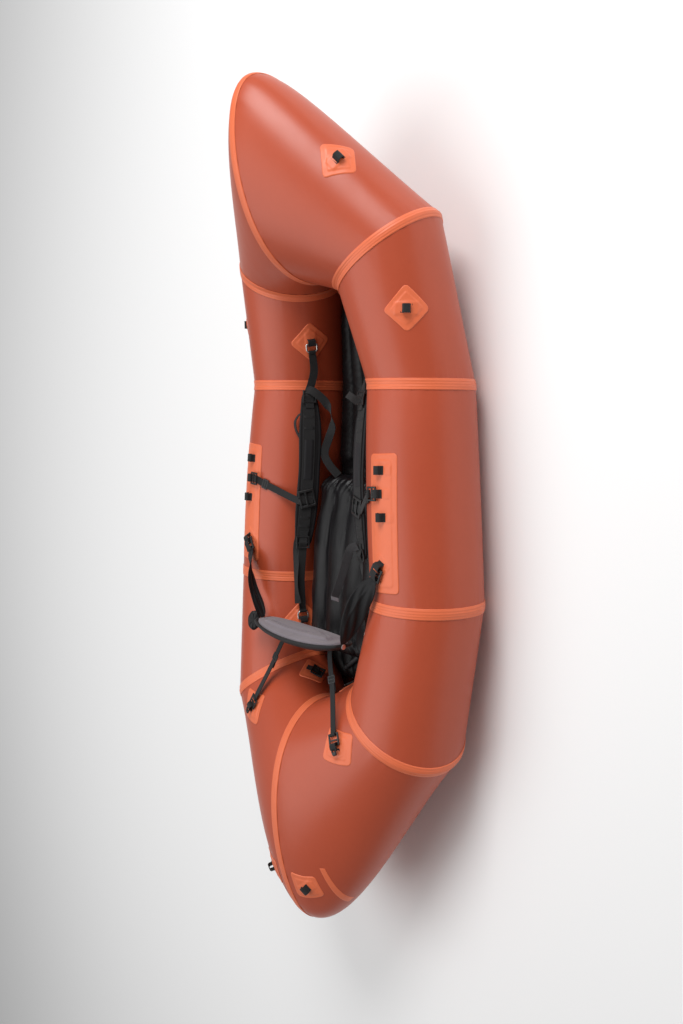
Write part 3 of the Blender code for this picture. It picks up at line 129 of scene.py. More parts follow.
def panel_lines(panel, angles, grow):
    """Lines along a panel, one for each angle round it."""
    t = np.linspace(0, 1, STEPS + 1)[:, None, None]
    if panel in ("bow", "stern"):
        joint, ring = (BOW_JOINT, BOW_RING) if panel == "bow" else (STERN_JOINT, STERN_RING)
        start, end = side_ring(joint, angles, grow), centre_ring(ring, angles, grow)
        chord = np.linalg.norm(end - start, axis=1)[:, None]
        leave, arrive = start + PULL * (end - start), end + ring[6] * chord * X_AXIS
        return ((1 - t) ** 3 * start + 3 * (1 - t) ** 2 * t * leave
                + 3 * (1 - t) * t * t * arrive + t**3 * end)
    if panel == "mid":
        a, b, c = [side_ring(r, angles, grow) for r in (AFT_JOINT, MID_STATION, FORE_JOINT)]
        return a * (1 - t) * (1 - 2 * t) + b * 4 * t * (1 - t) + c * t * (2 * t - 1)
    a, b = {"fore": (FORE_JOINT, BOW_JOINT), "aft": (STERN_JOINT, AFT_JOINT)}[panel]
    return (1 - t) * side_ring(a, angles, grow) + t * side_ring(b, angles, grow)


def hull_shift():
    """What puts the middle of the hull's length at nought."""
    angles = turns(24)
    grow = EDGE_GAP + TAPE_THICK
    front = centre_ring(BOW_RING, angles, grow)[:, 1].max()
    rear = centre_ring(STERN_RING, angles, grow)[:, 1].min()
    return np.array([0.0, -(front + rear) / 2, 0.0])


SHIFT = hull_shift()


def line_lengths(lines):
    """The length along each line up to each of its points."""
    steps = np.linalg.norm(np.diff(lines, axis=0), axis=2)
    return np.concatenate([np.zeros((1, lines.shape[1])), np.cumsum(steps, axis=0)])


def walk(lines, distances):
    """Points at distances along the lines, in the part's frame."""
    lengths = line_lengths(lines)
    out = np.empty(distances.shape + (3,))
    for c in range(lines.shape[1]):
        for k in range(3):
            out[:, c, k] = np.interp(distances[:, c], lengths[:, c], lines[:, c, k])
    return out + SHIFT


def skin(panel, share, angle, heading, a, b, lift):
    """Points on the skin, a along the heading and b across it from a place on the panel."""
    middle, step, nudge = radians(angle), radians(1), 0.02
    a, b, lift = np.broadcast_arrays(np.asarray(a, float), np.asarray(b, float), np.asarray(lift, float))

    def points(shares, angles, grow):
        lines = panel_lines(panel, angles, grow)
        return walk(lines, (shares * line_lengths(lines)[-1])[None])[0]

    home, further, around = points(np.array([share, share + nudge, share]),
                                   np.array([middle, middle, middle + step]), 0.0)
    length = np.linalg.norm(further - home) / nudge
    ahead, around = unit(further - home), (around - home) / step
    skew = around @ ahead
    girth = np.linalg.norm(around - ahead * skew)
    turn = radians(heading)
    angles = (a * sin(turn) + b * cos(turn)).ravel() / girth
    shares = share + ((a * cos(turn) - b * sin(turn)).ravel() - skew * angles) / length
    low = points(shares, middle + angles, 0.0)
    high = points(shares, middle + angles, 0.01)
    way = (high - low) / np.linalg.norm(high - low, axis=1)[:, None]
    return (low + way * lift.ravel()[:, None]).reshape(a.shape + (3,))


def place_on(panel, share, angle, heading, along=0.0, aside=0.0):
    """A spot on the skin, with its ways ahead, across and out."""
    reach = 0.0015
    spots = skin(panel, share, angle, heading, [along, along + reach, along],
                 [aside, aside, aside + reach], 0)
    ahead, across = unit(spots[1] - spots[0]), spots[2] - spots[0]
    across = unit(across - ahead * (across @ ahead))
    out = np.cross(ahead, across)
    inner = skin(panel, share, angle, heading, [along], [aside], -0.015)[0]
    return spots[0], ahead, across, out * np.sign(out @ (spots[0] - inner))


def at(place, a, b, c):
    return place[0] + place[1] * a + place[2] * b + place[3] * c


SMALL = 0.086
# Panel, share of its length, angle round it, heading, length, width, and its loops: along, aside, turn.
PATCHES = {
    "bow_patch": ("bow", 0.410, 19.3, -44.0, SMALL, SMALL, ((0.0, 0.0, -51.0),)),
    "fore_patch": ("fore", 0.489, 40.5, -53.5, SMALL, SMALL, ((0.0, 0.0, -48.0),)),
    "thigh_front_patch": ("fore", 0.496, 163.4, -43.7, SMALL, SMALL, ((0.0, 0.0, -133.8),)),
    "side_patch": ("mid", 0.384, 84.9, -1.3, 0.360, 0.098,
                   ((0.1368, 0.007, 90.0), (0.0765, 0.012, 90.0), (0.0165, 0.0, 90.0),
                    (-0.1107, 0.009, 150.0))),
    "thigh_rear_patch": ("aft", 0.458, 163.5, -49.7, SMALL, SMALL, ((0.0, 0.0, 38.7),)),
    "stern_strap_patch": ("stern", 0.218, 97.7, -39.6, 0.090, 0.100, ((0.0, 0.0, 152.0),)),
    "stern_tip_patch": ("stern", 0.852, 46.0, -62.1, 0.078, 0.096, ((0.0, 0.0, -119.0),)),
}
LIFT, PATCH_THICK = 0.0010, 0.0015
LOOP_INSIDE, LOOP_BAR_HEIGHT = 0.0135, 0.0072
LOCK_BAR, LOCK_RAIL, LOCK_WIDTH = 0.0040, 0.0050, 0.038
LOCK_SLOTS = (0.0095, 0.0130)
LOCK_REACH = LOCK_BAR * 2 + LOCK_SLOTS[0] + LOCK_SLOTS[1]
WIRE, RING_REACH, RING_INSIDE = 0.0025, 0.0240, 0.0260
WEB, WEB_THICK = 0.024, 0.0024


def loop_place(patch, number):
    """Where a patch's loop stands, with its ways ahead, across and out."""
    panel, share, angle, heading, _, _, loops = PATCHES[patch]
    along, aside, turn = loops[number]
    spot, ahead, across, out = place_on(panel, share, angle, heading)
    if along or aside:
        spot, _, _, out = place_on(panel, share, angle, heading, along, aside)
    turn = radians(turn)
    heading_way = ahead * cos(turn) + across * sin(turn)
    across = across * cos(turn) - ahead * sin(turn)
    ahead = unit(heading_way - out * (heading_way @ out))
    across = across - out * (across @ out)
    return spot, ahead, unit(across - ahead * (across @ ahead)), out


def pulled_bar(place, thickness, play=GAP):
    """The middle of a bar that is pulled against the inside of a loop."""
    return at(place, LOOP_INSIDE / 2 - thickness / 2 - play, 0.0, LIFT + PATCH_THICK + LOOP_BAR_HEIGHT)


def lock_at(patch, number):
    """The loop that holds a ladder lock, and the middle of the lock's bar pulled against it."""
    place = loop_place(patch, number)
    return place, pulled_bar(place, hypot(LOCK_BAR, LOCK_BAR))


# ---------------------------------------------------------------- materials
class Shader:
    """A small helper that strings shader nodes together."""

    def __init__(self, name, base, rough, **sockets):
        self.material = bpy.data.materials.new(name)
        self.material.use_nodes = True
        self.tree = self.material.node_tree
        self.shader = self.tree.nodes["Principled BSDF"]
        self.set(self.shader, "Base Color", (*base, 1.0))
        self.set(self.shader, "Roughness", rough)
        for key, value in sockets.items():
            self.set(self.shader, key.replace("_", " "), value)
        self.base, self.rough = base, rough
        self.height = None

    def set(self, node, socket, value):
        node.inputs[socket].default_value = value

    def node(self, kind, **values):
        node = self.tree.nodes.new(kind)
        for key, value in values.items():
            if hasattr(node, key):
                setattr(node, key, value)
            else:
                socket = key.replace("_", " ")
                if hasattr(value, "type"):
                    self.tree.links.new(value, node.inputs[socket])
                else:
                    node.inputs[socket].default_value = value
        return node

    def link(self, a, b):
        self.tree.links.new(a, b)

    def where(self, uv=False):
        return self.node("ShaderNodeTexCoord").outputs["UV" if uv else "Object"]

    def math(self, operation, a, b=0.5, c=None):
        node = self.tree.nodes.new("ShaderNodeMath")
        node.operation = operation
        for k, value in enumerate((a, b) if c is None else (a, b, c)):
            if hasattr(value, "type"):
                self.link(value, node.inputs[k])
            else:
                node.inputs[k].default_value = value
        return node.outputs[0]

    def noise(self, scale, detail=3.0, stretch=None, uv=False):
        where = self.where(uv)
        if stretch:
            mapping = self.node("ShaderNodeMapping")
            mapping.inputs["Scale"].default_value = stretch
            self.link(where, mapping.inputs["Vector"])
            where = mapping.outputs["Vector"]
        noise = self.node("ShaderNodeTexNoise", Scale=scale, Detail=detail, Roughness=0.55)
        self.link(where, noise.inputs["Vector"])
        return noise.outputs["Fac"]

    def tint(self, factor, low, high):
        """Colour between two multiples of the base."""
        mix = self.node("ShaderNodeMix", data_type="RGBA")
        self.link(factor, mix.inputs[0])
        source = self.shader.inputs["Base Color"]
        if source.is_linked:
            old = source.links[0].from_socket
            for k, share in ((6, low), (7, high)):
                scale = self.node("ShaderNodeMix", data_type="RGBA", blend_type="MULTIPLY")
                scale.inputs[0].default_value = 1.0
                self.link(old, scale.inputs[6])
                scale.inputs[7].default_value = (*[min(2.0, s) for s in share], 1.0)
                self.link(scale.outputs[2], mix.inputs[k])
        else:
            mix.inputs[6].default_value = (*[c * s for c, s in zip(self.base, low)], 1.0)
            mix.inputs[7].default_value = (*[c * s for c, s in zip(self.base, high)], 1.0)
        self.link(mix.outputs[2], source)
        return self

    def roughen(self, factor, low, high):
        ramp = self.node("ShaderNodeMapRange", To_Min=low, To_Max=high)
        self.link(factor, ramp.inputs["Value"])
        self.link(ramp.outputs["Result"], self.shader.inputs["Roughness"])
        return self

    def bump(self, factor, distance, strength=1.0):
        bump = self.node("ShaderNodeBump", Strength=strength, Distance=distance)
        self.link(factor, bump.inputs["Height"])
        normal = self.shader.inputs["Normal"]
        if normal.is_linked:
            self.link(normal.links[0].from_socket, bump.inputs["Normal"])
        self.link(bump.outputs["Normal"], normal)
        return self


def wave(shader, axis, period, uv=True):
    """A sine across one coordinate, from 0 to 1."""
    split = shader.node("ShaderNodeSeparateXYZ")
    shader.link(shader.where(uv), split.inputs[0])
    turns = shader.math("MULTIPLY", split.outputs[axis], 2 * pi / period)
    return shader.math("MULTIPLY_ADD", shader.math("SINE", turns), 0.5, 0.5)


def coated(name, base, rough, sheen, wrinkle):
    """Coated boat fabric: a fine woven grain under the film, soft mottling and faint creases."""
    s = Shader(name, base, rough, Sheen_Weight=sheen, Sheen_Roughness=0.45, Coat_Weight=0.06,
               Coat_Roughness=0.5)
    s.set(s.shader, "Sheen Tint", (1.0, 0.80, 0.72, 1.0))
    s.set(s.shader, "Specular IOR Level", 0.45)
    s.tint(s.noise(3.2, 4.0), (0.90, 0.86, 0.86), (1.07, 1.10, 1.08))
    s.tint(s.noise(70.0, 3.0), (0.97, 0.96, 0.96), (1.03, 1.03, 1.03))
    s.roughen(s.noise(9.0, 4.0), rough - 0.06, rough + 0.07)
    s.bump(s.noise(7.0, 2.0, (1.0, 0.45, 1.0)), wrinkle)
    s.bump(s.noise(700.0, 2.0), 0.00010, 0.5)
    return s


def taped(name, base, rough):
    """Heat-bonded tape, with fine ridges along it."""
    s = coated(name, base, rough, 0.10, 0.0010)
    s.bump(wave(s, 1, 0.0072), 0.0006, 0.8)
    s.bump(s.noise(60.0, 2.0, (0.4, 2.0, 1.0), uv=True), 0.0006, 0.6)
    return s


def webbing(name, base, rough=0.78):
    """Narrow woven nylon with lengthwise ribs and slanted picks."""
    s = Shader(name, base, rough, Sheen_Weight=0.06, Sheen_Roughness=0.5)
    ribs, picks = wave(s, 1, 0.0024), wave(s, 0, 0.0016)
    weave = s.math("MULTIPLY", ribs, picks)
    s.tint(weave, (0.65, 0.65, 0.65), (1.9, 1.9, 1.95))
    s.tint(s.noise(60.0, 3.0), (0.8, 0.8, 0.8), (1.25, 1.25, 1.25))
    s.bump(weave, 0.0005, 0.8)
    s.bump(s.noise(900.0, 2.0), 0.0002, 0.4)
    return s


def cloth(name, base, rough, cell=0.0012, sheen=0.5, crease=0.0012, shine=0.28):
    """Black woven fabric with a fine grid, sheen, and shallow creases."""
    s = Shader(name, base, rough, Sheen_Weight=sheen, Sheen_Roughness=0.35, Specular_IOR_Level=shine)
    s.set(s.shader, "Sheen Tint", (0.86, 0.82, 0.95, 1.0))
    grid = s.math("MULTIPLY", wave(s, 0, cell, False), wave(s, 1, cell, False))
    s.tint(grid, (0.8, 0.8, 0.8), (1.5, 1.5, 1.55))
    s.tint(s.noise(14.0, 4.0), (0.75, 0.75, 0.75), (1.35, 1.33, 1.40))
    s.roughen(s.noise(30.0, 4.0), rough - 0.10, rough + 0.10)
    s.bump(grid, 0.0002, 0.5)
    s.bump(s.noise(26.0, 4.0, (1.0, 0.5, 1.0)), crease, 0.9)
    return s


def plastic(name, base, rough):
    s = Shader(name, base, rough)
    s.tint(s.noise(50.0, 4.0), (0.8, 0.8, 0.8), (1.3, 1.3, 1.3))
    s.roughen(s.noise(120.0, 3.0), rough - 0.08, rough + 0.10)
    s.bump(s.noise(1500.0, 2.0), 0.00012, 0.6)
    return s


def steel(name):
    s = Shader(name, (0.62, 0.61, 0.60), 0.28, Metallic=1.0)
    s.tint(s.noise(40.0, 4.0), (0.75, 0.75, 0.75), (1.1, 1.1, 1.1))
    s.roughen(s.noise(200.0, 4.0, (1.0, 8.0, 1.0)), 0.18, 0.42)
    s.bump(s.noise(900.0, 2.0, (1.0, 12.0, 1.0)), 0.00005, 0.5)
    return s


def foam(name):
    """Moulded grey foam: fine knit face."""
    s = Shader(name, (0.185, 0.160, 0.178), 0.88, Sheen_Weight=0.4, Sheen_Roughness=0.5)
    s.tint(s.noise(12.0, 4.0), (0.86, 0.86, 0.86), (1.12, 1.12, 1.14))
    s.tint(s.noise(900.0, 2.0), (0.80, 0.80, 0.80), (1.2, 1.2, 1.2))
    s.bump(s.noise(1100.0, 2.0), 0.0003, 0.7)
    return s


HULL = coated("hull_fabric_look", (0.450, 0.070, 0.026), 0.37, 0.03, 0.0016).material
INNER = coated("floor_fabric_look", (0.400, 0.075, 0.034), 0.50, 0.1, 0.0016).material
TAPE = taped("tape_look", (0.760, 0.155, 0.058), 0.42).material
PATCH = coated("patch_look", (0.760, 0.155, 0.058), 0.42, 0.10, 0.0008).material
WEBBING = webbing("webbing_look", (0.0060, 0.0058, 0.0062)).material
BLACK = cloth("mat_look", (0.0052, 0.0048, 0.0052), 0.46, sheen=0.03).material
SEAT = cloth("seat_cover_look", (0.0032, 0.0028, 0.0034), 0.37, sheen=0.02, shine=0.27).material
# Painted light: a lighter copy of the webbing that stands in for the light the loose tail catches.
LIT_TAIL_WEBBING = webbing("loose_tail_painted_light_look", (0.022, 0.021, 0.023), 0.55).material
# Painted highlight: a light grey that stands in for the glint on the loose tail's end.
GLINT_TIP_WEBBING = webbing("tail_tip_painted_glint_look", (0.30, 0.29, 0.31), 0.40).material
PADDED = cloth("padded_look", (0.0070, 0.0068, 0.0072), 0.62, 0.0016, 0.08, 0.0008).material
PLASTIC = plastic("buckle_look", (0.0085, 0.0085, 0.0090), 0.42).material
SHELL_LOOK = plastic("shell_look", (0.0075, 0.0075, 0.0080), 0.55).material
RUBBER = plastic("valve_look", (0.030, 0.030, 0.032), 0.55).material
STEEL_LOOK = steel("steel_look").material
FOAM = foam("foam_look").material
LABEL = cloth("label_look", (0.0130, 0.0130, 0.0140), 0.55, 0.0012, 0.06, 0.0003).material


# ---------------------------------------------------------------- mesh helpers
def piece(name, points, faces, material, body, nodes=(), slot=None, side="starboard", uv=None,
          sharp=None):
    """One shown mesh. The port ones are mirrored in the centre plane."""
    points = np.asarray(points, float).reshape(-1, 3) * (SIGN[side], 1, 1)
    if SIGN[side] < 0:
        faces = [tuple(face)[::-1] for face in faces]
    mesh = bpy.data.meshes.new(name)
    mesh.from_pydata(points.tolist(), [], [tuple(int(i) for i in face) for face in faces])
    mesh.shade_smooth()
    if sharp:
        mesh.set_sharp_from_angle(angle=radians(sharp))
    if uv is not None:
        layer = mesh.uv_layers.new(name="UVMap")
        index = np.empty(len(mesh.loops), np.int32)
        mesh.loops.foreach_get("vertex_index", index)
        layer.data.foreach_set("uv", np.asarray(uv, float).reshape(-1, 2)[index].ravel())
    mesh.materials.append(material)
    made = bpy.data.objects.new(name, mesh)
    bpy.context.scene.collection.objects.link(made)
    if body:
        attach(made, body)
    if nodes:
        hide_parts(*nodes)
    return made


def grid_faces(rows, columns, wrap=False):
    faces = []
    for r in range(rows - 1):
        for c in range(columns if wrap else columns - 1):
            after = (c + 1) % columns
            faces.append((r * columns + c, r * columns + after,
                          (r + 1) * columns + after, (r + 1) * columns + c))
    return faces


def loft_faces(rows, columns, closed=False):
    """Faces round closed sections, capped at both ends or joined end to end."""
    faces = grid_faces(rows, columns, True)
    if closed:
        last = (rows - 1) * columns
        faces += [(last + c, last + (c + 1) % columns, (c + 1) % columns, c) for c in range(columns)]
    else:
        faces += [tuple(range(columns))[::-1], tuple(range((rows - 1) * columns, rows * columns))]
    return faces


def fix_normals(made):
    work = bmesh.new()
    work.from_mesh(made.data)
    bmesh.ops.recalc_face_normals(work, faces=work.faces)
    work.to_mesh(made.data)
    work.free()
    return made


def loft(name, sections, material, body, closed=False, **rest):
    """A shape through sections with as many points each, its faces turned outwards."""
    faces = loft_faces(len(sections), len(sections[0]), closed)
    return fix_normals(piece(name, sections, faces, material, body, **rest))


def modify(made, kind, **values):
    modifier = made.modifiers.new(kind.title(), kind)
    for key, value in values.items():
        setattr(modifier, key, value)
    return made


def smooth_step(x):
    x = np.clip(x, 0, 1)
    return x * x * (3 - 2 * x)


def spread(points, widths, ways, spans):
    """A smooth path through the points, with its width and its way across at each step."""
    table = np.array([list(p) + [w] + list(v) for p, w, v in zip(points, widths, ways)], float)
    padded = np.concatenate([[2 * table[0] - table[1]], table, [2 * table[-1] - table[-2]]])
    rows = []
    for k in range(1, len(padded) - 2):
        before, here, there, beyond = padded[k - 1:k + 3]
        for t in np.arange(spans) / spans:
            rows.append(0.5 * (2 * here + (there - before) * t
                               + (2 * before - 5 * here + 4 * there - beyond) * t**2
                               + (3 * here - before - 3 * there + beyond) * t**3))
    rows.append(table[-1])
    rows = np.array(rows)
    return rows[:, :3], rows[:, 3], rows[:, 4:]


EDGE = [(-0.96, -1.0), (-0.5, -1.0), (0.0, -1.0), (0.5, -1.0), (0.96, -1.0), (1.0, 0.0),
        (0.96, 1.0), (0.5, 1.0), (0.0, 1.0), (-0.5, 1.0), (-0.96, 1.0), (-1.0, 0.0)]


def ribbon(name, points, widths, ways, thick, material, body, slot="webbing", **rest):
    """Webbing along a path, flat across the given ways."""
    points, widths, ways = np.array(points), np.array(widths), np.array(ways)
    tangents = np.gradient(points, axis=0)
    lengths = np.concatenate([[0], np.cumsum(np.linalg.norm(np.diff(points, axis=0), axis=1))])
    sections, uv = [], []
    for point, width, way, tangent, u in zip(points, widths, ways, tangents, lengths):
        tangent = unit(tangent)
        across = unit(way - tangent * (way @ tangent))
        out = np.cross(tangent, across)
        sections.append([point + across * width / 2 * i + out * (thick / 2) * j for i, j in EDGE])
        uv.append([(u, width / 2 * i) for i, _ in EDGE])
    return loft(name, sections, material, body, slot=slot, uv=uv, sharp=50.0, **rest)


def strap(name, points, width, way, spans, thick, body, side):
    """Webbing of one width through a few points, with one way across."""
    p, w, v = spread(points, [width] * len(points), [way] * len(points), spans)
    return ribbon(name, p, w, v, thick, WEBBING, body, side=side)


# ---------------------------------------------------------------- hull
ROUND = 144
PUCKER, PUCKER_REACH, WAVE, RIPPLES = 0.0010, 0.022, 0.0006, 9
PANEL_ROWS = {"bow": 64, "fore": 26, "mid": 44, "aft": 26, "stern": 64}
PANEL_NODES = {"bow": "bow_panel", "fore": "fore_tube", "mid": "mid_tube", "aft": "aft_tube",
               "stern": "stern_panel"}


def ripple(angles, seed, low, high):
    """A repeatable wave round a ring, between minus one and one."""
    rng = np.random.default_rng(seed)
    out = sum(rng.uniform(0.4, 1.0) * np.sin(rng.integers(low, high) * angles + rng.uniform(0, 2 * pi))
              for _ in range(RIPPLES))
    return out / RIPPLES


def normals(grid):
    after = np.roll(grid, -1, axis=1) - np.roll(grid, 1, axis=1)
    out = np.cross(np.gradient(grid, axis=0), after)
    return out / np.maximum(np.linalg.norm(out, axis=2), 1e-12)[..., None]


def hull_panel(panel, side):
    """One air tube: full fabric with fine puckers where the tapes hold it in."""
    angles = turns(ROUND)
    lines = panel_lines(panel, angles, 0)
    whole = line_lengths(lines)[-1]
    tuck = TAPE_HALF * 0.8
    shares = np.linspace(0, 1, PANEL_ROWS[panel])
    shares = shares - 0.06 * np.sin(2 * pi * shares)
    distances = tuck + (whole - 2 * tuck)[None] * shares[:, None]
    grid = walk(lines, distances)
    out = normals(grid)
    middle = grid.mean(axis=1, keepdims=True)
    out = out * np.sign(((grid - middle) * out).sum(axis=2).mean())
    seed = sum(map(ord, panel)) * (3 if side == "port" else 1)
    near = distances - TAPE_HALF
    far = whole[None] - distances - TAPE_HALF
    pucker = np.zeros_like(distances)
    for k, away in enumerate((near, far)):
        fade = np.exp(-np.maximum(away, 0) / PUCKER_REACH)
        pucker -= PUCKER * fade * smooth_step(0.35 + 1.5 * ripple(angles, seed + k, 20, 64))[None]
    soft = WAVE * ripple(angles, seed + 7, 2, 9)[None] * np.sin(pi * shares)[:, None]
    grid = grid + out * (pucker + soft)[..., None]
    fix_normals(piece(f"{PANEL_NODES[panel]}_{side}_skin", grid, grid_faces(len(grid), ROUND, True),
                      HULL, "hull", [f"{PANEL_NODES[panel]}_{side}"], "hull_fabric", side))


# Across a tape: place, and lift over the fabric, with a soft rolled edge.
TAPE_PROFILE = both_ways([(-TAPE_HALF, 0.0001), (-TAPE_HALF + 0.0004, 0.0013), (-TAPE_HALF + 0.0016, 0.0018),
                          (-0.009, 0.0016), (-0.0072, 0.0019), (-0.0045, 0.0016), (-0.0025, 0.0020),
                          (0.0, 0.0017)])
# Each joint's panels: which one is before and after the seam, and whether the seam is at its end.
JOINTS = {"bow_joint_tape": (("fore", True), ("bow", False)),
          "fore_joint_tape": (("mid", True), ("fore", False)),
          "aft_joint_tape": (("aft", True), ("mid", False)),
          "stern_joint_tape": (("aft", False), ("stern", False))}


def tape_row(panel, angles, distance, lift, from_end):
    lines = panel_lines(panel, angles, lift)
    whole = line_lengths(lines)[-1]
    return walk(lines, (whole - distance if from_end else whole * 0 + distance)[None])[0]


def tape(node, radius, row, side="starboard"):
    """A welded tape right round a seam, from a function that gives each row across it."""
    angles = turns(ROUND)
    rows = [row(angles, place, lift) for place, lift in TAPE_PROFILE]
    uv = [[(a * radius, place) for a in angles] for place, _ in TAPE_PROFILE]
    fix_normals(piece(f"{node}_band", rows, grid_faces(len(rows), ROUND, True), TAPE, "hull", [node],
                      "tape_fabric", side, uv))


def joint_tape(name, side):
    def row(angles, place, lift):
        panel, from_end = JOINTS[name][place >= 0]
        return tape_row(panel, angles, abs(place), lift, from_end)

    tape(f"{name}_{side}", 0.15, row, side)


def centre_tape(name, panel, ring):
    def row(angles, place, lift):
        if place == 0:
            return centre_ring(ring, angles, lift) + SHIFT
        return tape_row(panel, angles, abs(place), lift, True) * (np.sign(-place), 1, 1)

    tape(name, 0.25, row)


def floor_sheet():
    """The floor sheet under the tubes, drawn flat between them."""
    angles = np.radians(np.linspace(272, 240, 9))
    parts = []
    for panel, back in (("bow", True), ("fore", True), ("mid", True), ("aft", True), ("stern", False)):
        lines = panel_lines(panel, angles, LAP_LIFT + FLOOR_FABRIC)
        whole = line_lengths(lines)[-1]
        shares = np.linspace(0.02, 0.98, 40) if panel in ("bow", "stern") else np.linspace(0.03, 0.97, 20)
        rows = walk(lines, shares[:, None] * whole[None])
        parts.append(rows[::-1] if back else rows)
    half = np.concatenate(parts)
    steps = np.linspace(1, -1, 13)[1:-1]
    middle = half[:, -1:] * (np.stack([steps, steps * 0 + 1, steps * 0 + 1], axis=-1))[None]
    sag = 0.0035 * (1 - steps**2)[None] * np.minimum(1, half[:, -1:, 0] / 0.12)
    middle[..., 2] -= sag * 0.6
    grid = np.concatenate([half, middle, half[:, ::-1] * (-1, 1, 1)], axis=1)
    made = piece("hull_floor_sheet", grid, grid_faces(*grid.shape[:2]), INNER, "hull", ["hull_floor"],
                 "hull_fabric")
    modify(made, "SOLIDIFY", thickness=0.0012, offset=-1.0)


# ---------------------------------------------------------------- patches and loops
def corner_grid(length, width, corner, cell):
    """Places over a rectangle with round corners."""
    inner = max(3, round((length - 2 * corner) / cell))
    steps = np.array([0, 0.04, 0.12, 0.28, 0.5, 0.75])
    a = np.concatenate([-length / 2 + corner * steps,
                        np.linspace(-length / 2 + corner, length / 2 - corner, inner),
                        length / 2 - corner * steps[::-1]])
    d = np.minimum(length / 2 - np.abs(a), corner)
    half = width / 2 - (corner - np.sqrt(np.maximum(corner**2 - (corner - d) ** 2, 0)))
    across = max(3, round(width / cell))
    s = np.concatenate([[-1, -0.992, -0.97], np.linspace(-0.94, 0.94, across), [0.97, 0.992, 1]])
    b = half[:, None] * s[None]
    a = np.broadcast_to(a[:, None], b.shape).copy()
    return a, b


def box_distance(a, b, length, width, corner, turn=0.0):
    """Signed distance inside a rounded rectangle, positive inside."""
    c, s = cos(radians(turn)), sin(radians(turn))
    a, b = a * c + b * s, -a * s + b * c
    qa, qb = np.abs(a) - length / 2 + corner, np.abs(b) - width / 2 + corner
    outside = np.hypot(np.maximum(qa, 0), np.maximum(qb, 0))
    return corner - outside - np.minimum(np.maximum(qa, qb), 0)


def step_up(distance, high, blend=0.0016):
    """A soft step of a given height where a distance passes nought."""
    return high * smooth_step(distance / blend + 0.5)


PATCH_CORNER, PATCH_HIGH, INNER_SHARE, INNER_CORNER = 0.012, 0.0016, 0.68, 0.004


def sheet_lift(a, b, length, width, corner, high):
    """Lift of a thin sheet over the fabric, rounded down at its edge."""
    return 0.0003 + step_up(box_distance(a, b, length, width, corner) - 0.0006, high, 0.0012)


def lay_sheet(name, spot, a, b, lift, side, nodes=()):
    """A thin sheet welded on the skin, its faces turned to the side that the skin faces."""
    made = piece(name, skin(*spot, a, b, lift), grid_faces(*a.shape), PATCH, "hull", nodes, "patch_fabric",
                 side, np.stack([a, b], axis=-1))
    out = place_on(*spot)[3] * (SIGN[side], 1, 1)
    total = sum((f.normal for f in made.data.polygons), Vector())
    if total.dot(Vector(out)) < 0:
        made.data.flip_normals()


def patch(name, side):
    """A welded patch: cover, raised inner layer, and the loop's webbing base under it."""
    *spot, length, width, loops = PATCHES[name]
    a, b = corner_grid(length, width, PATCH_CORNER, 0.0022 if name != "side_patch" else 0.0026)
    lift = sheet_lift(a, b, length, width, PATCH_CORNER, PATCH_HIGH)
    rng = np.random.default_rng(sum(map(ord, name)))
    lift += 0.0002 * np.sin(a * 190 + rng.uniform(0, 6)) * np.sin(b * 170 + rng.uniform(0, 6))
    if name == "side_patch":
        lift += step_up(box_distance(a, b, length - 0.034, width - 0.034, 0.010), 0.0012)
        for along, aside, turn in loops[:3]:
            lift += step_up(box_distance(a - along, b - aside + 0.028, 0.026, 0.020, 0.004), 0.0010)
            lift += step_up(box_distance(a - along, b - aside, 0.030, 0.034, 0.005), 0.0008)
        along, aside, turn = loops[3]
        lift += step_up(box_distance(a - along, b - aside, 0.052, 0.052, 0.006, 45), 0.0012)
    else:
        lift += step_up(box_distance(a, b, length * INNER_SHARE, width * INNER_SHARE, INNER_CORNER), 0.0013)
        turn = radians(loops[0][2])
        u = a * cos(turn) + b * sin(turn)
        v = -a * sin(turn) + b * cos(turn)
        base = np.minimum(0.016 - np.abs(v), 0.030 - np.abs(u))
        lift += step_up(base, 0.0014, 0.006)
        lift += 0.0020 * np.exp(-(np.hypot(u, v) / 0.016) ** 2)
    lay_sheet(f"{name}_{side}_cover", spot, a, b, lift, side, [f"{name}_{side}"])
    for number in range(len(loops)):
        loop(name, number, side)


LOOP_LINE = both_ways([(-0.0150, 0.0034), (-0.0108, 0.0040), (-0.0088, 0.0068), (-0.0084, 0.0112),
                       (-0.0080, 0.0150), (-0.0050, 0.0176), (0.0, 0.0181)])


def loop(name, number, side):
    """A webbing loop that stands up from its patch."""
    place = loop_place(name, number)
    strap(f"{name}_{side}_loop_{number}", [at(place, h, 0.0, n) for h, n in LOOP_LINE], WEB - 0.001,
          place[2], 4, 0.0022, "hull", side)


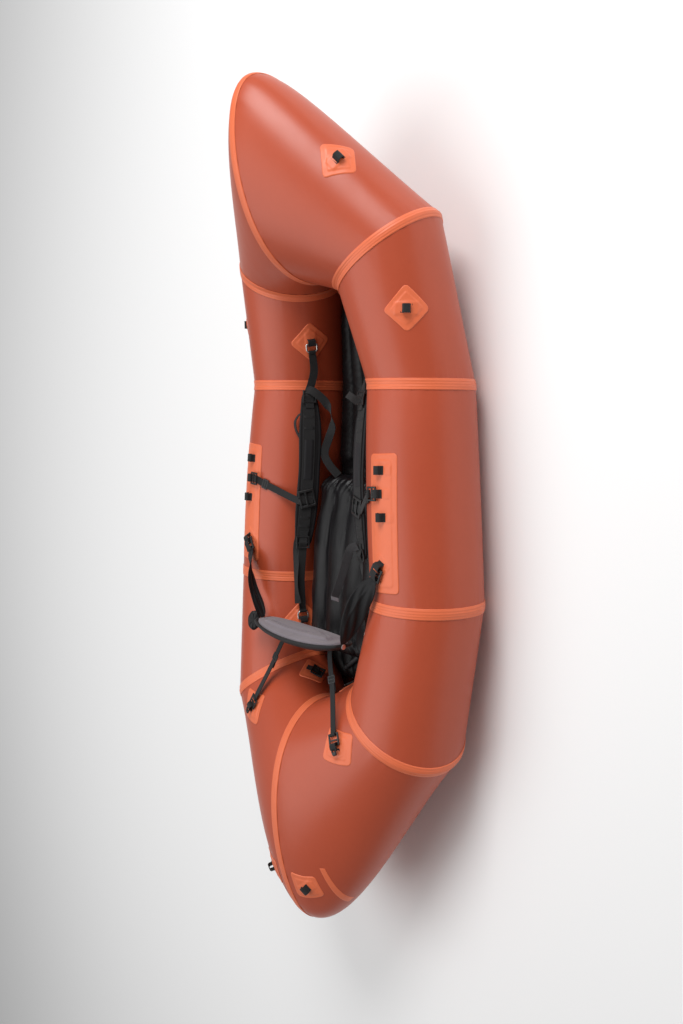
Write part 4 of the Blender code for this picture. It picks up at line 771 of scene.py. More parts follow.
# ---------------------------------------------------------------- webbing hardware
def frame_piece(name, origin, across, ahead, bars, width, body, side, rail, thick, curve=0.0, taper=1.0,
                nodes=()):
    """A buckle frame with rails and bars: bars are (start, end) lengths ahead of the origin."""
    ahead = unit(ahead)
    across = unit(across - ahead * (across @ ahead))
    out = np.cross(ahead, across)
    first, last = bars[0][0], bars[-1][1]
    edges = sorted({e for bar in bars for e in bar})
    half = width / 2
    columns = [-half, -half + rail, half - rail, half]
    points = []
    for level in (-thick / 2, thick / 2):
        for e in edges:
            t = (e - first) / (last - first)
            slim = 1 + (taper - 1) * t
            for c in columns:
                points.append(origin + ahead * e + across * c * slim + out * (level + curve * sin(pi * t)))
    top = len(edges) * 4
    faces, uses = [], {}
    for r in range(len(edges) - 1):
        solid_row = any(abs(edges[r] - s) < 1e-9 and abs(edges[r + 1] - e) < 1e-9 for s, e in bars)
        for c in range(3):
            if c == 1 and not solid_row:
                continue
            quad = [r * 4 + c, r * 4 + c + 1, (r + 1) * 4 + c + 1, (r + 1) * 4 + c]
            faces += [tuple(quad[::-1]), tuple(top + k for k in quad)]
            for i, j in zip(quad, quad[1:] + quad[:1]):
                key = (min(i, j), max(i, j))
                uses[key] = uses.get(key, 0) + 1
    faces += [(i, j, top + j, top + i) for (i, j), n in uses.items() if n == 1]
    made = fix_normals(piece(name, points, faces, PLASTIC, body, nodes, "buckle_plastic", side, sharp=35.0))
    modify(made, "BEVEL", width=min(thick * 0.30, 0.0012), segments=3, limit_method="ANGLE")


def ladder_lock(name, origin, across, ahead, body, side, scale=1.0, curve=0.0, nodes=()):
    """A ladder lock: rear bar, middle bar and a wide front lip."""
    bar, first, second = LOCK_BAR * scale, LOCK_SLOTS[0] * scale, LOCK_SLOTS[1] * scale
    starts = (-bar / 2, bar / 2 + first, bar * 1.5 + first + second)
    frame_piece(name, origin, across, ahead, [(s, s + bar) for s in starts], LOCK_WIDTH * scale, body, side,
                LOCK_RAIL * scale, bar, curve, nodes=nodes)


def slider(name, origin, across, ahead, body, side, width, length):
    """A three-bar slider about its middle."""
    bar, middle = 0.0034, length / 2
    bars = [(0, bar), (middle - bar / 2, middle + bar / 2), (length - bar, length)]
    frame_piece(name, origin - unit(ahead) * middle, across, ahead, bars, width, body, side, 0.0036, bar)


def turned(name, place, profile, material, body, slot, steps, **rest):
    """A turned shape about a place's way out, from a profile of radius and height."""
    sections = [[at(place, r * cos(t), r * sin(t), h) for t in turns(steps)] for r, h in profile]
    loft(name, sections, material, body, slot=slot, sharp=35.0, **rest)


def steel_ring(name, bar, across, ahead, body, nodes, side):
    """A bent steel ring with a smooth round wire."""
    half, corner, far = RING_INSIDE / 2 + WIRE, 0.0036, 0.0095
    path = []
    for sx, sy, start, r in ((-half, 0.0, 1.5 * pi, corner), (-half, RING_REACH, pi, far),
                             (half, RING_REACH, pi / 2, far), (half, 0.0, 0.0, corner)):
        centre = (sx - np.sign(sx) * r, sy + (-r if sy else r))
        for k in range(9):
            t = start - pi / 2 * k / 8
            path.append((centre[0] + r * cos(t), centre[1] + r * sin(t)))
    out = np.cross(across, ahead)
    flat = np.array(path)
    before, after = np.roll(flat, 1, axis=0), np.roll(flat, -1, axis=0)
    sections = []
    for p, a, b in zip(flat, before, after):
        way = unit(b - a)
        wide = across * way[1] - ahead * way[0]
        middle = bar + across * p[0] + ahead * p[1]
        sections.append([middle + WIRE * (wide * cos(2 * pi * k / 16) + out * sin(2 * pi * k / 16))
                         for k in range(16)])
    loft(name, sections, STEEL_LOOK, body, True, nodes=nodes, slot="ring_steel", side=side)


# ---------------------------------------------------------------- backband
BAND_Y, BAND_Z, BAND_HALF = -0.328, 0.321, 0.205
BAND_HEIGHT, BAND_END, BAND_SAG, BAND_RISE, BAND_POWER = 0.148, 0.034, 0.014, 0.014, 1.9
PIN_Y, PIN_Z = -0.3213, 0.3383
BAND_FACE, HOLE_STEP = 0.003, 0.0085
BINDING_WIDE, BINDING_DEEP = 0.0042, 0.0046


def band_surface(s, h, half_width, inset, depth):
    """A point grid over the backband: s across, h up, both from minus one to one."""
    end = BAND_END / 2
    half = end + (BAND_HEIGHT / 2 - end) * (1 - np.abs(s) ** BAND_POWER) ** (1 / BAND_POWER) - inset
    x = half_width * s
    middle = BAND_Z + UNDER + BAND_RISE * (x / BAND_HALF) ** 2
    y = BAND_Y + BAND_SAG * (x / BAND_HALF) ** 2 + depth
    return np.stack([x, y, middle + h * half], axis=-1)


def swell(s, h):
    """Fullness over the backband: one in its middle and nought at its edges."""
    return (1 - np.abs(s) ** 3.0) * (1 - np.abs(h) ** 3.0)


def band_steps(count):
    """Steps from minus one to one, closer towards both ends."""
    t = np.linspace(-1, 1, count)
    return np.sin(t * pi / 2 * 0.92) / sin(pi / 2 * 0.92)


def rimmed(front, back):
    """Points and faces of two sheets and the rim between their edges."""
    rows, columns = front.shape[:2]
    top = rows * columns
    sheet = grid_faces(rows, columns)
    ends = [(r * columns + c, r * columns + c + 1) for c in range(columns - 1) for r in (0, rows - 1)]
    ends += [(r * columns + c, (r + 1) * columns + c) for r in range(rows - 1) for c in (0, columns - 1)]
    faces = sheet + [tuple(top + k for k in face)[::-1] for face in sheet]
    faces += [(i, j, top + j, top + i) for i, j in ends]
    return np.concatenate([front.reshape(-1, 3), back.reshape(-1, 3)]), faces


def foam_pad():
    """The moulded foam pad with its sculpted leaf, grooves and small holes."""
    s, h = np.meshgrid(band_steps(170), band_steps(72))
    ridge = h - 0.30 * s + 0.10 * np.sin(3.0 * s)
    leaf = smooth_step((0.62 - np.abs(h + 0.12 * s)) / 0.10) * smooth_step((0.80 - np.abs(s)) / 0.10)
    low = smooth_step((ridge + 0.22) / 0.07)
    groove = (np.exp(-((h + 0.35 - 0.95 * (s - 0.15)) / 0.05) ** 2) * smooth_step((s + 0.45) / 0.2)
              * smooth_step((0.75 - s) / 0.15))
    groove2 = np.exp(-((h - 0.42 + 0.50 * (s + 0.30) ** 2) / 0.05) ** 2) * smooth_step((0.5 - s) / 0.3)
    holes_x, holes_z = s * BAND_HALF / HOLE_STEP, h * BAND_HEIGHT / 2 / HOLE_STEP
    row = np.floor(holes_z)
    fx = (holes_x + 0.5 * np.mod(row, 2)) % 1 - 0.5
    fz = holes_z - row - 0.5
    zone = (smooth_step((s - 0.30) / 0.05) * smooth_step((0.86 - s) / 0.04)
            * smooth_step((0.55 - np.abs(h + 0.1)) / 0.1))
    holes = np.exp(-((fx * fx + fz * fz) / 0.075) ** 2) * zone
    face = (BAND_FACE + 0.0095 * swell(s, h) + 0.0044 * leaf * low + 0.0016 * leaf
            - 0.0050 * groove - 0.0042 * groove2 - 0.0022 * holes)
    edge = np.maximum(np.abs(s), np.abs(h))
    roll = smooth_step((1 - edge) / 0.045)
    face = -BAND_FACE + (face + BAND_FACE) * (0.25 + 0.75 * roll)
    inset = 0.006
    front = band_surface(s, h, BAND_HALF - inset, inset, face)
    back = band_surface(s, h, BAND_HALF - inset, inset, 0 * s - BAND_FACE)
    pad = fix_normals(piece("backband_foam", *rimmed(front, back), FOAM, "backband", ["backband_pad"],
                            "foam_pad", sharp=60.0))


def backband():
    """The foam pad on its stiff ribbed shell, the bound edge and the rivets."""
    foam_pad()
    s, h = np.meshgrid(band_steps(110), band_steps(48))
    thick = BAND_FACE + 0.3 * GAP
    edge = np.maximum(np.abs(s), np.abs(h))
    roll = np.sqrt(np.clip(1 - np.clip((edge - 0.90) / 0.10, 0, 1) ** 2, 0, 1))
    face = band_surface(s, h, BAND_HALF, 0.0, 0 * s - thick - 0.0022 * (1 - roll))
    ribs = 0.0016 * smooth_step((np.sin(s * 24) - 0.3) / 0.4) * smooth_step((0.7 - np.abs(h)) / 0.2)
    rear = band_surface(s, h, BAND_HALF, 0.0,
                        -thick - 0.008 * roll - 0.017 * swell(s, h) + 0.002 * (1 - roll) - ribs * roll)
    fix_normals(piece("backband_moulded_shell", *rimmed(face, rear), SHELL_LOOK, "backband",
                      ["backband_shell"], "buckle_plastic", sharp=60.0))
    binding()
    for side in SIDES:
        place = (np.array([BAND_HALF, PIN_Y, PIN_Z]), Y_AXIS, Z_AXIS, X_AXIS)
        turned(f"backband_{side}_rivet", place,
               [(0.0040, -0.005), (0.0040, 0.0034), (0.0072, 0.0036), (0.0074, 0.0046), (0.0062, 0.0054),
                (0.0030, 0.0058)], STEEL_LOOK, "backband", "ring_steel", 32, side=side)


def binding():
    """The bound edge round the backband's shell."""
    turn = np.linspace(0, 2 * pi, 241)[:-1]
    s, h = (np.sign(part) * np.abs(part) ** 0.55 for part in (np.cos(turn), np.sin(turn)))
    scale = np.maximum(np.abs(s), np.abs(h))
    s, h = s / scale, h / scale
    line = band_surface(s * 0.992, h * 0.975, BAND_HALF, 0.0, 0 * s - 0.0045)
    before, after = np.roll(line, 1, axis=0), np.roll(line, -1, axis=0)
    sections = []
    for p, a, b in zip(line, before, after):
        way = unit(b - a)
        out = unit(np.cross(way, Y_AXIS))
        sections.append([p + out * BINDING_WIDE * cos(t) + Y_AXIS * BINDING_DEEP * sin(t)
                         for t in np.linspace(0, 2 * pi, 13)[:-1]])
    loft("backband_binding", sections, WEBBING, "backband", True, slot="webbing")


# The wing from its lock to its pin: share of the way, rise, lean in degrees and width.
WING = ((0.13, 0.006, 20.0, 0.048), (0.34, 0.012, 38.0, 0.058),
        (0.60, 0.010, 58.0, 0.057), (0.86, 0.003, 80.0, 0.036))
WING_COLUMNS = 25
EYE_PROFILE = ((0, -0.96), (0, 0), (0, 0.96), (0.5, 1.0), (1, 0.96), (1, 0), (1, -0.96), (0.5, -1.0))
LOCK_EYE = 0.0033


def eye_band(name, centre, axis, ahead, inside, width, thick, body, side):
    """Webbing that goes right round a bar."""
    axis = unit(axis)
    ahead = unit(ahead - axis * (ahead @ axis))
    up = np.cross(axis, ahead)
    sections = []
    for t in turns(40):
        way = ahead * cos(t) + up * sin(t)
        sections.append([centre + way * (inside + thick * r) + axis * width / 2 * w for r, w in EYE_PROFILE])
    loft(name, sections, WEBBING, body, True, slot="webbing", side=side, sharp=50.0)


def front_strap(side):
    """The folded fabric wing from a ladder lock to the backband's rivet."""
    place, bar = lock_at("side_patch", 3)
    front = bar + place[1] * LOCK_REACH
    pin = np.array([BAND_HALF + GAP + 0.0015, PIN_Y, PIN_Z])
    reach = pin - front
    flat = unit(place[2]) * -np.sign(place[2][0])
    start = front + unit(place[1] * 2 + unit(reach)) * 0.0042
    end = pin - np.array([0.0, unit(reach)[1], 0.0]) * 0.0085
    points = [start] + [front + reach * share + Z_AXIS * rise for share, rise, _, _ in WING] + [end]
    ways = [flat] + [np.array([-cos(radians(k)), 0.0, sin(radians(k))]) for _, _, k, _ in WING] + [Z_AXIS]
    widths = [WEB] + [w for _, _, _, w in WING] + [0.015]
    p, w, v = spread(points, widths, ways, 14)
    columns = np.linspace(-1, 1, WING_COLUMNS)
    tangents = np.gradient(p, axis=0)
    grid, uv, run = [], [], 0.0
    total = np.linalg.norm(np.diff(p, axis=0), axis=1).sum()
    for k, (q, width, way) in enumerate(zip(p, w, v)):
        if k:
            run += np.linalg.norm(p[k] - p[k - 1])
        t = unit(tangents[k])
        across = unit(way - t * (way @ t))
        out = np.cross(t, across)
        share = run / total
        crease = np.sin(pi * share) * (0.0026 * np.sin(columns * 7 + share * 9)
                                       + 0.0032 * np.exp(-((columns - 0.6 + 1.6 * share) / 0.16) ** 2)
                                       - 0.0030 * np.exp(-((columns + 0.1 - 0.9 * share) / 0.12) ** 2))
        grid.append([q + across * width / 2 * c + out * d for c, d in zip(columns, crease)])
        uv.append([(run, width / 2 * c) for c in columns])
    made = piece(f"backband_{side}_wing", grid, grid_faces(len(p), WING_COLUMNS), PADDED, None,
                 [f"backband_front_strap_{side}"], "webbing", side, uv)
    modify(made, "SOLIDIFY", thickness=0.0018, offset=0.0)
    settle(made)
    lift = f"ladder_lock_{side}"
    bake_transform(made)
    eye_band(f"backband_{side}_wing_eye", front, place[2], place[1], LOCK_EYE, WEB * 0.95, 0.0020, lift, side)
    tail = [front + place[1] * ahead + place[3] * over for ahead, over in
            ((0.004, 0.004), (-0.004, 0.0075), (-0.015, 0.0105), (-0.024, 0.009))]
    strap(f"backband_{side}_wing_tail", tail, WEB * 0.9, place[2], 8, 0.0018, lift, side)


def settle(made):
    """Applies what changes the mesh."""
    depsgraph = bpy.context.evaluated_depsgraph_get()
    mesh = bpy.data.meshes.new_from_object(made.evaluated_get(depsgraph))
    made.modifiers.clear()
    made.data = mesh


REAR_STRAP_X = 0.115


def rear_strap(side):
    """The strap from the backband to the stern patch: webbing, slider and hooked buckle."""
    place, bar = lock_at("stern_strap_patch", 0)
    share = (REAR_STRAP_X - WEB) / BAND_HALF
    back = BAND_Y + BAND_SAG * share**2 - BAND_FACE - GAP - 0.008 - 0.017 * swell(np.array([share]), 0.0)[0]
    top = np.array([REAR_STRAP_X, back - GAP - WEB_THICK, BAND_Z + UNDER - 0.008])
    ahead = unit(unit(top - bar) + place[1])
    lock_end = bar + ahead * LOCK_REACH
    middle = (lock_end + top) / 2 - Z_AXIS * 0.003
    sewn = top - Z_AXIS * WEB
    points = [lock_end - ahead * 0.001, middle, top - np.array([0.0, WEB_THICK, 0.0]), sewn]
    ways = [place[2]] * 2 + [X_AXIS * np.sign(place[2][0])] * 2
    p, w, v = spread(points, [WEB * 0.80] * 4, ways, 18)
    made = ribbon(f"backband_{side}_rear_webbing", p, w, v, 0.0020, WEBBING, None,
                  nodes=[f"backband_rear_strap_{side}"], side=side)
    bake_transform(made)
    ladder_lock(f"backband_{side}_rear_lock", bar, place[2], ahead, "hull", side)
    hook = bar - ahead * 0.006 + place[3] * 0.003
    frame_piece(f"backband_{side}_rear_hook", hook, place[2], -ahead, [(0, 0.004), (0.012, 0.022)], 0.022,
                "hull", side, 0.004, 0.005, 0.002, 0.55)
    spot, tangent, way = slide_at(p, v, 0.42)
    slider(f"backband_{side}_rear_slider", spot, way, tangent, "hull", side, 0.028, 0.022)
    eye_band(f"backband_{side}_rear_eye", lock_end - ahead * LOCK_BAR / 2, place[2], ahead, LOCK_EYE,
             WEB * 0.8, 0.0018, "hull", side)
    out = np.cross(tangent, way)
    fold = [spot + tangent * 0.009 + out * 0.0028, spot - tangent * 0.010 + out * 0.0034,
            spot - tangent * 0.034 + out * 0.0040]
    strap(f"backband_{side}_rear_fold", fold, WEB * 0.78, way, 8, 0.0016, "hull", side)


def slide_at(p, v, share):
    """A place along a strap for its slider: the spot, the way along it and the way across."""
    k = int(len(p) * share)
    tangent = unit(p[k + 1] - p[k - 1])
    return p[k], tangent, unit(v[k] - tangent * (v[k] @ tangent))


# ---------------------------------------------------------------- thigh straps
PAD_LEANS = {"starboard": 9.0, "port": 65.0}
PAD_WAYS = {side: np.array([cos(radians(lean)), 0.0, sin(radians(lean))]) for side, lean in PAD_LEANS.items()}
WEB_TWIST_HOLD, FACE_UP = 2.5, 0.004
SIDE_EDGE_LIFTS = {"starboard": 0.0120, "port": 0.0020}
PAD_WIDTH, PAD_THICK = 0.058, 0.0080
PAD_FULLS = {"starboard": 0.060, "port": 0.066}
PAD_LINE = {
    "starboard": ((0.143, 0.352, 0.222), (0.148, 0.251, 0.239), (0.150, 0.1315, 0.246),
                  (0.155, 0.0115, 0.244), (0.152, -0.098, 0.228)),
    "port": ((0.143, 0.356, 0.213), (0.133, 0.250, 0.215), (0.133, 0.130, 0.218),
             (0.142, 0.010, 0.222), (0.157, -0.100, 0.225)),
}
PAD_FACE = both_ways([(-1.0, 0.0), (-0.97, -0.55), (-0.90, -0.85), (-0.80, -0.92), (-0.76, -0.80),
                      (-0.70, -0.95), (-0.35, -1.12), (0.0, -1.18)])
PAD_PROFILE = PAD_FACE + [(i, -j) for i, j in PAD_FACE[-2:0:-1]]


def thigh_line(side):
    """The places that the padded strap passes through."""
    return [np.array([x, y, z + UNDER]) for x, y, z in PAD_LINE[side]]


def thigh_end(side, name):
    """The middle of a steel ring's bar, the way the strap pulls from it, and the way across."""
    place = loop_place(f"thigh_{name}_patch", 0)
    bar = pulled_bar(place, 2 * WIRE, 0.0009)
    ahead = unit(thigh_line(side)[0 if name == "front" else -1] - bar)
    return bar, unit(ahead - place[2] * (ahead @ place[2])), place[2]


def thigh_over(side, end):
    """Along the pad from an end, and the way off its face."""
    line = thigh_line(side)
    a, b = {"front": (line[0], line[1]), "rear": (line[-1], line[-2]), "hold": (line[2], line[3])}[end]
    along = unit(b - a)
    over = unit(np.cross(PAD_WAYS[side], along))
    return a, along, over * -np.sign(over[0])


def thigh_pad(side):
    """The padded strap with its bound edges and sewn face panel."""
    line, wide = thigh_line(side), PAD_WAYS[side]
    full = PAD_FULLS[side]
    widths = [full * 0.66, full, full * 0.97, full, full * 0.74]
    p, w, v = spread(line, widths, [wide] * 5, 22)
    tangents = np.gradient(p, axis=0)
    sections = []
    count = len(p)
    for k, (q, width, way) in enumerate(zip(p, w, v)):
        t = unit(tangents[k])
        across = unit(way - t * (way @ t))
        out = np.cross(t, across)
        share = k / (count - 1)
        end = min(1.0, min(share, 1 - share) / 0.045)
        round_end = np.sqrt(max(1 - (1 - end) ** 2, 0.02))
        seam = 1 - 0.35 * np.exp(-((np.abs(share - 0.5) - 0.36) / 0.006) ** 2)
        wave_ = 0.0005 * np.sin(share * 46)
        wide_half = width * (0.62 + 0.38 * round_end) / 2
        high = PAD_THICK / 2 * (0.45 + 0.55 * round_end) * seam
        sections.append([q + across * wide_half * i + out * (high + wave_ * (abs(i) < 0.7)) * j
                         for i, j in PAD_PROFILE])
    made = loft(f"thigh_{side}_padded_strap", sections, PADDED, f"thigh_strap_{side}",
                nodes=[f"thigh_pad_{side}"], slot="padded_fabric", side=side, sharp=50.0)
    over = thigh_over(side, "hold")[2]

    def on_face(share, lift):
        k = share * (count - 1)
        i = min(int(k), count - 2)
        t = unit(tangents[i])
        out = unit(np.cross(unit(wide - t * (wide @ t)), t))
        out = out * np.sign(out @ over)
        return p[i] + (p[i + 1] - p[i]) * (k - i) + out * (PAD_THICK / 2 * 1.16 + lift) + wide * FACE_UP

    def sewn(name, shares, lift, width, thick, material=WEBBING, slot="webbing"):
        count = len(shares)
        ribbon(f"thigh_{side}_{name}", [on_face(k, lift) for k in shares], [width] * count, [wide] * count,
               thick, material, f"thigh_strap_{side}", slot, side=side)

    sewn("face_webbing", np.linspace(0.10, 0.93, 60), 0.0009, 0.036, 0.0018)
    for k, centre in enumerate((0.17, 0.245, 0.86, 0.80)):
        sewn(f"bar_tack_{k}", centre + np.linspace(-0.008, 0.008, 5), 0.0021, 0.030, 0.0012)
    sewn("bare_panel", np.linspace(0.32, 0.56, 14), 0.0024, 0.026, 0.0010, LABEL, "padded_fabric")


def thigh_webbing(side, name):
    """Webbing from the ring to the pad, and its ladder lock."""
    bar, ahead, across = thigh_end(side, name)
    end, along, over = thigh_over(side, name)
    body, ring_body = f"thigh_strap_{side}", f"{name}_ring_{side}"
    flip, wide = np.array([SIGN[side], 1, 1]), PAD_WAYS[side]
    eye = bar + ahead * RING_REACH
    lift = over * (PAD_THICK / 2 + EDGE_GAP + WEB_THICK)
    middle = (eye + end + lift) / 2
    middle = middle - across * ((middle - eye) @ across)
    inside = WIRE + 0.0006
    way = across * np.sign(across @ wide)
    points = [eye + unit(middle - eye) * (inside + 0.0012), middle, end + lift, end + lift + along * 0.045]
    ways = [way, unit(way * WEB_TWIST_HOLD + wide), wide, wide]
    p, w, v = spread(points, [0.0215] + [WEB] * 3, ways, 14)
    made = ribbon(f"thigh_{side}_{name}_web", p, w, v, 0.0022, WEBBING, None,
                  nodes=[f"thigh_{name}_webbing_{side}"], side=side)
    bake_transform(made)
    eye_band(f"thigh_{side}_{name}_eye", eye, across, ahead, inside, 0.0212, 0.0020, ring_body, side)
    steel_ring(f"thigh_{side}_{name}_wire_ring", bar, across, ahead, ring_body, [f"thigh_{name}_ring_{side}"],
               side)
    start = end + lift + over * (WEB_THICK + LOCK_BAR) / 3 - along * LOCK_BAR
    flat_along = unit(along - wide * (along @ wide))
    ladder_lock(f"thigh_{side}_{name}_lock", start + over * 0.0012, wide, flat_along, body, side, 1.08,
                0.0025)
    middle = start + flat_along * (LOCK_REACH / 2)
    wrap = [middle + along * far + over * high for far, high in
            ((-0.012, 0.0015), (0.0, 0.0048), (0.012, 0.0015), (0.034, 0.0004))]
    strap(f"thigh_{side}_{name}_wrap", wrap, WEB, wide, 10, 0.0020, body, side)


KEEPER_TURN = 16.0


def side_strap(side):
    """The strap from the side patch over the tube to its keeper on the pad."""
    place, bar = lock_at("side_patch", 1)
    line, wide = thigh_line(side), PAD_WAYS[side]
    hold = line[2] * 0.25 + line[3] * 0.75
    _, along, over = thigh_over(side, "hold")
    face = hold + over * (PAD_THICK / 2 + 0.0014 + LOCK_BAR / 2)
    ahead = unit(place[1])
    lock_end = bar + ahead * LOCK_REACH
    panel, share, angle = PATCHES["side_patch"][:3]
    length = line_lengths(panel_lines(panel, np.array([radians(angle)]), 0))[-1, 0]
    share = share + PATCHES["side_patch"][6][1][0] / length
    drape = [skin(panel, share, angle + turn, 0.0, [back], [0.0], 0.0050)[0]
             for back, turn in ((-0.012, 22.0), (-0.024, 34.0))]
    edge = hold + wide * (PAD_WIDTH / 2 + PAD_THICK / 2) + over * SIDE_EDGE_LIFTS[side]
    keep = wide * PAD_WIDTH * 0.3
    points = [lock_end - ahead * 0.001, *drape, edge, face + keep + over * 0.0012,
              face - keep + over * 0.0006]
    ways = [place[2] * np.sign(place[2][1])] * 3 + [along * np.sign(along[1])] * 3
    p, w, v = spread(points, [WEB * 0.9] * len(points), ways, 14)
    made = ribbon(f"thigh_{side}_side_web", p, w, v, 0.0021, WEBBING, None,
                  nodes=[f"thigh_side_strap_{side}"], side=side)
    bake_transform(made)
    ladder_lock(f"thigh_{side}_side_lock", bar, place[2], ahead, "hull", side, curve=0.001)
    eye_band(f"thigh_{side}_side_eye", lock_end - ahead * LOCK_BAR / 2, place[2], ahead, LOCK_EYE, WEB * 0.88,
             0.0018, "hull", side)
    down = unit(wide - along * (wide @ along)) * -1
    turn = radians(KEEPER_TURN)
    ladder_lock(f"thigh_{side}_side_keeper", face + keep * 1.25 + over * 0.0012,
                along * cos(turn) + down * sin(turn), down * cos(turn) - along * sin(turn),
                f"thigh_strap_{side}", side, 1.4, 0.002)
    spot, tangent, way = slide_at(p, v, 0.30)
    slider(f"thigh_{side}_side_slider", spot, way, tangent, "hull", side, 0.030, 0.020)


# Ways across a loose end, and each loose end: its side, its width, and its places with their ways.
EDGE_ON = np.array([0.81, 0.10, 0.58])
FLAT = np.array([0.58, 0.01, -0.81])
SLANT = np.array([0.27, 0.80, -0.53])
LEAN = np.array([0.573, -0.342, -0.737])
LOOSE = {
    "port_front_tail": ("port", 0.024, (
        ((-0.142, 0.366, 0.230), SLANT), ((-0.120, 0.360, 0.218), SLANT), ((-0.101, 0.332, 0.190), SLANT),
        ((-0.094, 0.290, 0.170), EDGE_ON), ((-0.097, 0.255, 0.165), (0.75, 0.05, -0.35)),
        ((-0.104, 0.222, 0.172), FLAT), ((-0.112, 0.178, 0.181), FLAT),
        ((-0.104, 0.145, 0.170), (0.40, 0.55, -0.65)), ((-0.090, 0.112, 0.146), SLANT))),
    "port_edge_loop": ("port", 0.014, (
        ((-0.148, 0.300, 0.232), EDGE_ON), ((-0.157, 0.290, 0.243), (0.99, 0.09, 0.16)),
        ((-0.163, 0.270, 0.252), (0.95, 0.30, 0.05)), ((-0.162, 0.245, 0.249), (0.99, 0.09, 0.16)),
        ((-0.157, 0.224, 0.238), (0.90, 0.05, -0.10)), ((-0.148, 0.208, 0.228), (0.85, 0.0, -0.20)))),
    "port_rear_tail": ("port", 0.022, (
        ((-0.164, -0.075, 0.238), FLAT), ((-0.166, -0.100, 0.243), FLAT),
        ((-0.166, -0.150, 0.245), (0.9, 0.0, -0.3)), ((-0.163, -0.220, 0.247), (0.95, 0.05, 0.10)),
        ((-0.158, -0.275, 0.243), (0.80, 0.0, -0.50)))),
    "starboard_rear_tail": ("starboard", 0.023, (
        ((0.152, -0.062, 0.252), (0.40, -0.55, -0.30)), ((0.128, -0.072, 0.257), (0.50, -0.55, -0.50)),
        ((0.108, -0.098, 0.254), LEAN), ((0.080, -0.150, 0.250), LEAN), ((0.052, -0.193, 0.245), LEAN),
        ((0.028, -0.222, 0.238), LEAN), ((0.010, -0.240, 0.226), LEAN))),
    "starboard_front_tab": ("starboard", 0.020, (
        ((0.146, 0.330, 0.250), SLANT), ((0.134, 0.343, 0.262), SLANT),
        ((0.116, 0.350, 0.262), SLANT), ((0.102, 0.352, 0.252), SLANT))),
}


def loose_ends():
    """Loose strap ends and small loops as they happen to lie in the photo, in true places."""
    for name, (side, width, line) in LOOSE.items():
        p, w, v = spread([spot for spot, _ in line], [width] * len(line), [way for _, way in line], 10)
        # The starboard rear tail gets the lighter webbing, which is painted light.
        pale = name == "starboard_rear_tail"
        ribbon(f"thigh_{name}", p, w, v, 0.0018, LIT_TAIL_WEBBING if pale else WEBBING, f"thigh_strap_{side}")
        if pale:
            # Its last stretch is a light grey tip, which is a painted glint.
            ribbon(f"thigh_{name}_tip", p[-9:], w[-9:] * 1.03, v[-9:], 0.0024, GLINT_TIP_WEBBING, f"thigh_strap_{side}")


# ---------------------------------------------------------------- floor mat and seat
MAT_THICK, MAT_STERN_RISE, MAT_CLEAR, MAT_TIP = 0.052, 0.026, 0.0040, 0.040
TUBE_RADIUS, TUBE_FROM_END, TUBE_TURN = 0.0065, 0.085, 216.0
MAT_CHAMBERS, SEAT_CHAMBERS = 6, 4
SEAT_FRONT, SEAT_REAR, SEAT_HALF, SEAT_THICK = 0.112, -0.405, 0.156, 0.104


def floor_heights():
    """The floor sheet's edge: length and height, stern to bow."""
    rows = whole_lines([240.0], LAP_LIFT)[:, 0]
    return rows[np.argsort(rows[:, 1])]


def whole_lines(angles, grow):
    """Lines along all five panels, stern to bow."""
    parts = [panel_lines(panel, np.radians(angles), grow) for panel in ("stern", "aft", "mid", "fore", "bow")]
    return np.concatenate([parts[0][::-1]] + parts[1:]) + SHIFT


FLOOR_LINE = floor_heights()
WALLS = whole_lines(np.arange(180, 246, 6), 0)


def wall_x(y, z):
    """How far out the tubes' inboard side is at a length and height."""
    xs, zs = [], []
    for c in range(WALLS.shape[1]):
        line = WALLS[:, c]
        xs.append(np.interp(y, line[:, 1], line[:, 0]))
        zs.append(np.interp(y, line[:, 1], line[:, 2]))
    return float(np.interp(z, zs[::-1], xs[::-1]))


def mat_reach():
    """Where the mat ends at the bow and at the stern: as wide there as its tip."""
    line = WALLS[:, 0]
    stern, bow = line[:STEPS], line[-STEPS:]
    rear = np.interp(MAT_TIP, stern[:, 0], stern[:, 1])
    front = np.interp(-MAT_TIP, -bow[:, 0], bow[:, 1])
    return front, rear


def mat_level(y):
    """The mat's underside and its thickness at a length."""
    low = np.interp(y, FLOOR_LINE[:, 1], FLOOR_LINE[:, 2]) + GAP
    return low, MAT_THICK + MAT_STERN_RISE * np.clip(y / mat_reach()[1], 0, 1) ** 2


def pillow(x, half, count, deep):
    """Height of a row of round chambers across a width: zero on the crests, less in the channels."""
    t = (x / half + 1) / 2 * count
    f = np.abs(t - np.floor(t) - 0.5) * 2
    return deep * (np.sqrt(np.clip(1 - (f * 0.985) ** 2.2, 0, 1)) - 1)


def fine_folds(x, y, seed, count=90, half=0.12):
    """Short shallow creases, mostly across, at random places."""
    rng = np.random.default_rng(seed)
    out = np.zeros_like(x)
    for _ in range(count):
        cx, cy = rng.uniform(-half, half), rng.uniform(y.min(), y.max())
        turn = rng.normal(0, 0.45)
        long, thin = rng.uniform(0.012, 0.034), rng.uniform(0.0022, 0.0050)
        u = (x - cx) * cos(turn) + (y - cy) * sin(turn)
        v = -(x - cx) * sin(turn) + (y - cy) * cos(turn)
        out += rng.uniform(-1, 1) * np.exp(-(u / long) ** 2 - (v / thin) ** 2)
    return out


MAT_FORE_RISE = 0.018


